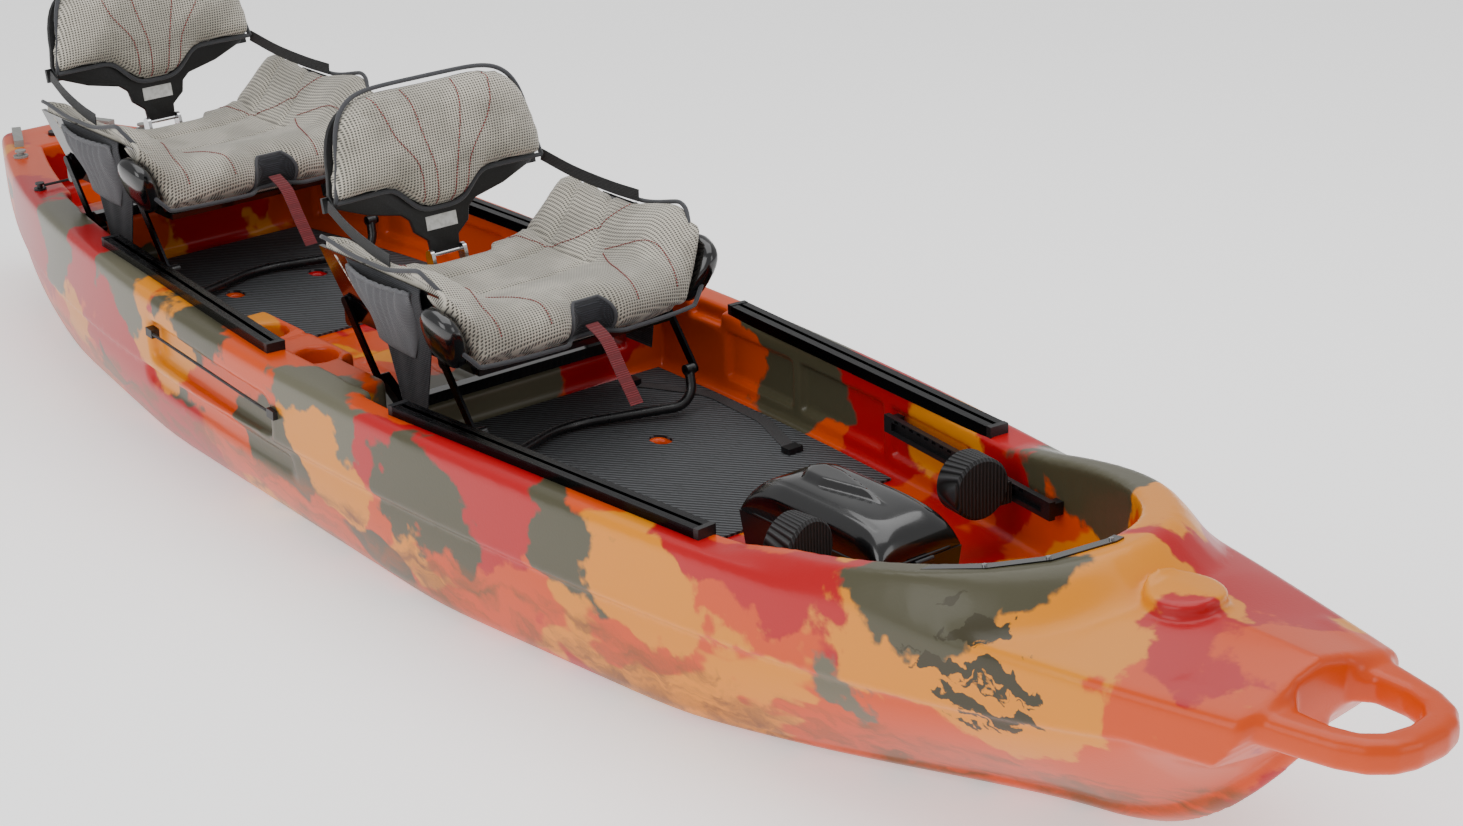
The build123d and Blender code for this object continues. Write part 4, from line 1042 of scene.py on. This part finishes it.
CLOTH_THICK = 0.0018
WING_TOP, WING_FOOT = ((-0.215, 0.574), (0.040, 0.574)), ((-0.105, 0.300), (-0.022, 0.300))
wings = draped("wing_cloth", (WING_TOP, WING_FOOT), hip, CLOTH_THICK, oxford, 0.0018)
for seat, piece in zip(SEATS, wings):
    settle(piece, f"{seat}_seat", [f"{seat}_seat_side_wings"])
    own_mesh(piece)


def bag(x, z, s2, t):
    """The pouch bellies out between its seams and gathers under the elastic."""
    belly = math.sin(math.pi * s2) ** 0.5 * math.sin(math.pi * min(1, 0.12 + t * 0.85)) ** 0.6
    gather = 0.0042 * math.sin(s2 * 50 + math.sin(s2 * 9 + t * 3) * 2) * (1 - t) ** 1.2
    return hip(x, z, s2, t) + 0.003 + 0.026 * belly + gather


POUCH_TOP, POUCH_FOOT = ((-0.208, 0.560), (0.006, 0.556)), ((-0.170, 0.418), (-0.045, 0.408))
pouches = draped("pouch_cloth", (POUCH_TOP, POUCH_FOOT), bag, CLOTH_THICK, pouch_cloth, 0.003)
for seat, piece in zip(SEATS, pouches):
    settle(piece, f"{seat}_seat", [f"{seat}_seat_side_pouches"])
elastic = [
    (
        -0.208 + 0.214 * i / 40,
        hip(0, 0.558, 0, 0) + 0.005 + 0.020 * math.sin(math.pi * i / 40),
        0.561 - 0.004 * i / 40 + 0.0015 * math.sin(i * 1.9),
    )
    for i in range(41)
]
for seat in SEATS:
    lines = [shifted([(x, side * y, z) for x, y, z in elastic], seat) for side in (1, -1)]
    round_tube(f"{seat}_pouch_elastic", lines, 0.0042, pouch_cloth, f"{seat}_seat")
for seat in SEATS:
    strap_line = [
        shifted(
            smooth_path([
                (-0.352, side * 0.2525, 0.632), (-0.26, side * 0.267, 0.612),
                (-0.16, side * 0.281, 0.601), (-0.078, side * 0.291, 0.598),
            ], 8),
            seat
        )
        for side in (1, -1)
    ]
    for label, line in zip(("left", "right"), strap_line):
        strap = flat_tape(f"{seat}_{label}_back_strap", line, (0, 0, 1), 0.025, 0.0022, webbing, None)
        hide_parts(f"{seat}_seat_back_straps")
        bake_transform(strap)
    pull_line = shifted(
        smooth_path([(0.150, 0, 0.462), (0.196, 0.001, 0.440), (0.240, -0.001, 0.392), (0.284, 0, 0.338)], 8),
        seat
    )
    flat_tape(
        f"{seat}_pull_tape", pull_line, (0, 1, 0), 0.029, 0.0018, red_webbing, f"{seat}_seat",
        [f"{seat}_seat_pull_strap"]
    )

# ---- Seat shells ----
# Blow-moulded gloss black horns close the bucket's front corners, and the cushion's
# middle carries a stitched black patch; a blank grey plate is riveted to the neck.
satin, tree, shader = start_material("moulded polypropylene, black", "#0E0E10", 0.42)
place = node(tree, "ShaderNodeTexCoord").outputs["Object"]
stipple = node(
    tree, "ShaderNodeTexNoise", noise_dimensions="4D", in_Vector=place, in_W=0.0,
    in_Scale=420.0, in_Detail=2.0
)
pit = node(tree, "ShaderNodeBump", in_Height=stipple.outputs[0], in_Distance=0.0006)
pit.inputs["Strength"].default_value = 0.35
tree.links.new(pit.outputs[0], shader.inputs["Normal"])
tree.links.new(
    blend_colours(tree, "#0C0C0E", "#1B1B1E", stipple.outputs[0], 0.45, 0.7), shader.inputs["Base Color"]
)
gloss, tree, shader = start_material(
    "gloss black ABS", "#08080A", 0.14, Coat_Weight=0.5, Coat_Roughness=0.05
)
place = node(tree, "ShaderNodeTexCoord").outputs["Object"]
smudge = node(
    tree, "ShaderNodeTexNoise", noise_dimensions="4D", in_Vector=place, in_W=0.0,
    in_Scale=14.0, in_Detail=4.0
)
wear = node(tree, "ShaderNodeMapRange", in_0=smudge.outputs[0], in_1=0.35, in_2=0.7, in_3=0.10, in_4=0.26)
tree.links.new(wear.outputs[0], shader.inputs["Roughness"])
label_grey, tree, shader = start_material("printed label stock, pale grey", "#C9C9C6", 0.5)
place = node(tree, "ShaderNodeTexCoord").outputs["Object"]
fade = node(
    tree, "ShaderNodeTexNoise", noise_dimensions="4D", in_Vector=place, in_W=0.0,
    in_Scale=90.0, in_Detail=3.0
)
tree.links.new(
    blend_colours(tree, "#C9C9C6", "#B5B5B1", fade.outputs[0], 0.4, 0.65), shader.inputs["Base Color"]
)


def superball(centre, radii, power, turn=None):
    """Points and faces of a rounded-box ellipsoid."""
    verts, faces, nu, nv = [], [], 28, 15
    for j in range(nv):
        v = -math.pi / 2 + math.pi * j / (nv - 1)
        for i in range(nu):
            u = 2 * math.pi * i / nu
            p = [
                math.copysign(abs(c) ** power, c)
                for c in (math.cos(v) * math.cos(u), math.cos(v) * math.sin(u), math.sin(v))
            ]
            q = Vector([a * r for a, r in zip(p, radii)])
            verts.append((turn @ q if turn else q) + Vector(centre))
    for j in range(nv - 1):
        for i in range(nu):
            faces.append((j * nu + i, j * nu + (i + 1) % nu, (j + 1) * nu + (i + 1) % nu, (j + 1) * nu + i))
    return verts, faces


for seat, (dx, dz) in SEATS.items():
    for side, label in ((1, "left"), (-1, "right")):
        tip = Matrix.Rotation(side * -0.42, 3, "X") @ Matrix.Rotation(0.35, 3, "Y")
        verts, faces = superball((0.088 + dx, side * 0.290, 0.490 + dz), (0.052, 0.024, 0.066), 0.75, tip)
        new_piece(f"{seat}_{label}_horn", verts, faces, gloss, f"{seat}_seat")
    verts = []
    for i in range(17):
        for j in range(13):
            a = math.radians(-46 + 84 * j / 12)
            y = (i / 8 - 1) * 0.052 * (1 - 0.45 * max(0.0, (j - 6) / 6) ** 2.2)
            ray = Vector((math.cos(a), 0, math.sin(a)))
            hit, normal, _, _ = cushion_tree.ray_cast(Vector((0.085, y, 0.468)) + ray * 0.25, -ray)
            verts.append(hit + normal * 0.002 + Vector((dx, 0, dz)))
    faces = [
        (i * 13 + j, i * 13 + j + 1, (i + 1) * 13 + j + 1, (i + 1) * 13 + j)
        for i in range(16)
        for j in range(12)
    ]
    patch = new_piece(f"{seat}_front_patch", verts, faces, oxford, None)
    ready = patch.modifiers.new("thickness", "SOLIDIFY")
    ready.thickness = 0.004
    ready.offset = 0
    bake(patch)
    settle(patch, f"{seat}_seat")
    rim = [Vector(verts[i * 13]) for i in range(17)] + [Vector(verts[16 * 13 + j]) for j in range(1, 13)]
    rim += [
        Vector(verts[i * 13 + 12]) for i in range(15, -1, -1)
    ] + [Vector(verts[j]) for j in range(11, 0, -1)]
    round_tube(f"{seat}_patch_piping", [rim], 0.0035, binding, f"{seat}_seat", closed=True)
    plate_at = [
        (0.0012, -0.036, 0.050), (0.0012, 0.036, 0.050), (0.0012, 0.036, 0.078), (0.0012, -0.036, 0.078)
    ]
    plate = [
        Vector(p) + Vector((dx, 0, dz))
        for p in leaned([(x + k * 0.0008, y, z) for k in (0, 1) for x, y, z in plate_at])
    ]
    new_piece(
        f"{seat}_label_plate", plate,
        [(0, 3, 2, 1), (4, 5, 6, 7), (0, 1, 5, 4), (1, 2, 6, 5), (2, 3, 7, 6), (3, 0, 4, 7)], label_grey,
        f"{seat}_backrest", smooth=False
    )

# The backrest's board is one moulded plate whose rim shows as a black band under the pad
# and narrows to the neck that turns on the recline pin.
rim = []
for i in range(33):
    u = math.sin((-1 + i / 16) * math.pi / 2)
    rim.append((u * 0.236, pad_edges(u * 0.9995)[1] - 0.014))
rim += [
    (0.242, 0.165), (0.232, 0.136), (0.16, 0.108), (0.088, 0.092), (0.070, 0.078), (0.064, 0.052),
    (0.036, 0.030), (0.033, -0.004)
]
rim += [(-y, z) for y, z in reversed(rim[33:])]
count = len(rim)
verts = leaned([(x, y, z) for x in (0.0005, -0.0095) for y, z in rim])
faces = [tuple(range(count)), tuple(range(count, 2 * count))]
faces += [(i, (i + 1) % count, count + (i + 1) % count, count + i) for i in range(count)]
board = new_piece("front_board", verts, faces, satin, None, smooth=False)
soft = board.modifiers.new("soft edge", "BEVEL")
soft.width = 0.0025
soft.segments = 2
bake(board)
twin(board, "rear_board", "rear_backrest", ["rear_seat_back_board"])
settle(board, "front_backrest", ["front_seat_back_board"])

# ---- Pod cover ----
# One crowned polypropylene lid with soft shoulders, a raised prow down its middle and a
# drip lip round the seam, hinged at its front edge.
verts, faces, nx, ny = [], [], 97, 61
for i in range(nx):
    for j in range(ny):
        u, v = math.sin(
            (-1 + 2 * i / (nx - 1)) * math.pi / 2
        ), math.sin((-1 + 2 * j / (ny - 1)) * math.pi / 2)
        x, y = 0.885 + 0.184 * u, 0.0915 * v
        crown = 0.072 * (1 - abs(v) ** 5) ** 0.45 * (1 - abs(u) ** 7) ** 0.5
        slope = 1 - 0.10 * float(ease(np.array(x), 0.93, 1.07)) - 0.16 * float(
            ease(np.array(-x), -0.80, -0.70)
        )
        wedge_half = 0.034 * max(
            0.0, min(1.0, (0.985 - x) / 0.14)
        ) if x > 0.80 else 0.034 * max(0.0, (x - 0.775) / 0.025)
        prow = 0.013 * float(ease(np.array(wedge_half - abs(y)), 0.0, 0.012))
        groove = 0.0025 * math.exp(-(((abs(y) - 0.062) / 0.0025) ** 2)) * (0.74 < x < 1.03)
        verts.append((x, y, 0.2855 + crown * slope + prow - groove))
base = len(verts)
faces = [
    (i * ny + j, (i + 1) * ny + j, (i + 1) * ny + j + 1, i * ny + j + 1)
    for i in range(nx - 1)
    for j in range(ny - 1)
]
verts += [(x, y, 0.2850) for x, y, _ in verts]
faces += [
    (base + i * ny + j, base + i * ny + j + 1, base + (i + 1) * ny + j + 1, base + (i + 1) * ny + j)
    for i in range(nx - 1)
    for j in range(ny - 1)
]
ring = [i * ny for i in range(nx)] + [(nx - 1) * ny + j for j in range(1, ny)]
ring += [i * ny + ny - 1 for i in range(nx - 2, -1, -1)] + [j for j in range(ny - 2, 0, -1)]
faces += [(a, b, b + base, a + base) for a, b in zip(ring, ring[1:] + ring[:1])]
new_piece("pod_lid_shell", verts, faces, gloss, "pod_lid", ["pod_cover"])
lip = [
    (
        0.885 + math.copysign(abs(math.cos(a)) ** 0.25, math.cos(a)) * 0.184,
        math.copysign(abs(math.sin(a)) ** 0.25, math.sin(a)) * 0.0915,
        0.2875,
    )
    for a in np.linspace(0, 2 * math.pi, 160, endpoint=False)
]
round_tube("pod_lid_lip", [[Vector(p) for p in lip]], 0.0028, satin, "pod_lid", closed=True)

# ---- Carried parts ----
# Everything else keeps its exact shape and is finished as its real material: ribbed EVA
# mats, ribbed pedal rubber, anodised tracks, drawn tube, plated steel and bungee.
eva, tree, shader = start_material("ribbed EVA foam, charcoal", "#2A2C2E", 0.8)
place = node(tree, "ShaderNodeTexCoord").outputs["Object"]
ribs = node(tree, "ShaderNodeMapping", in_Vector=place)
ribs.inputs["Rotation"].default_value = (0, 0, math.radians(52))
wave = node(tree, "ShaderNodeTexWave", in_Vector=ribs.outputs[0], in_Scale=29.0, bands_direction="X")
spots = node(
    tree, "ShaderNodeTexNoise", noise_dimensions="4D", in_Vector=place, in_W=0.0,
    in_Scale=60.0, in_Detail=3.0
)
# Each rib top is painted lighter and each groove darker than the foam's charcoal: painted highlight and
# painted shade following the rib bumps.
rib_highlight_and_shade = blend_colours(tree, "#1B1C1E", "#54575A", wave.outputs[1], 0.35, 0.75)
tree.links.new(blend_colours(tree, rib_highlight_and_shade, "#3A3C3E", spots.outputs[0], 0.5, 0.75), shader.inputs["Base Color"])
raised = node(tree, "ShaderNodeBump", in_Height=wave.outputs[1], in_Distance=0.002)
tree.links.new(raised.outputs[0], shader.inputs["Normal"])
rubber, tree, shader = start_material("ribbed pedal rubber", "#141415", 0.6)
place = node(tree, "ShaderNodeTexCoord").outputs["Object"]
wave = node(tree, "ShaderNodeTexWave", in_Vector=place, in_Scale=42.0, bands_direction="Y")
# Each rib top is painted lighter and each groove darker: painted highlight and painted shade on the ribs.
tree.links.new(
    blend_colours(tree, "#060607", "#2A2A2C", wave.outputs[1], 0.2, 0.8), shader.inputs["Base Color"]
)
raised = node(tree, "ShaderNodeBump", in_Height=wave.outputs[1], in_Distance=0.004)
tree.links.new(raised.outputs[0], shader.inputs["Normal"])


def metal(name, colour, roughness, scale, deep=0.0004, metallic=1.0):
    """Metal or hard skin with fine drawn streaks in its gloss."""
    made, tree, shader = start_material(name, colour, roughness, Metallic=metallic)
    drawn = node(tree, "ShaderNodeMapping", in_Vector=node(tree, "ShaderNodeTexCoord").outputs["Object"])
    drawn.inputs["Scale"].default_value = (0.1, 1, 1)
    streak = node(
        tree, "ShaderNodeTexNoise", noise_dimensions="4D", in_Vector=drawn.outputs[0], in_W=0.0,
        in_Scale=scale, in_Detail=4.0
    )
    wear = node(
        tree, "ShaderNodeMapRange", in_0=streak.outputs[0], in_1=0.3, in_2=0.7, in_3=roughness * 0.7,
        in_4=min(1, roughness * 1.5)
    )
    tree.links.new(wear.outputs[0], shader.inputs["Roughness"])
    line = node(tree, "ShaderNodeBump", in_Height=streak.outputs[0], in_Distance=deep)
    line.inputs["Strength"].default_value = 0.3
    tree.links.new(line.outputs[0], shader.inputs["Normal"])
    return made


finishes = {
    "track_aluminium": metal(
        "anodised aluminium, black", "#1A1A1D", 0.24, 260.0
    ), "mat_foam": eva, "pedal_rubber": rubber,
    "screw_steel": metal("stainless steel", "#A8A8AA", 0.28, 300.0), "tube_black": metal(
        "powder-coated tube, black", "#101012", 0.30, 180.0, metallic=0.0
    ),
    "link_alloy": metal(
        "anodised aluminium links, black", "#19191B", 0.28, 240.0
    ), "bracket_chrome": metal("chromed steel", "#D2D2D4", 0.10, 120.0),
    "black_plastic": satin, "gloss_black": gloss, "black_webbing": webbing,
    "black_fabric": oxford, "pouch_fabric": pouch_cloth,
    "bungee": woven(
        "braided bungee sheath", "#0B0B0C", "#2C2C2E", 0.0025
    ), "tyre_rubber": metal("tyre rubber", "#151516", 0.8, 90.0, 0.002, 0.0),
    "red_webbing": red_webbing, "seat_mesh": flat_mesh,
}
grey_grip = metal("grey TPU grip", "#8E8F8C", 0.7, 160.0, 0.001, 0.0)
for row in frame["record"]["subparts"]:
    finish = finishes.get(row["material_slot"])
    if row["node"] in ("stern_cleats", "stern_grips"):
        finish = grey_grip
    if finish:
        for held in NODES[row["node"]].material_slots:
            held.material = finish
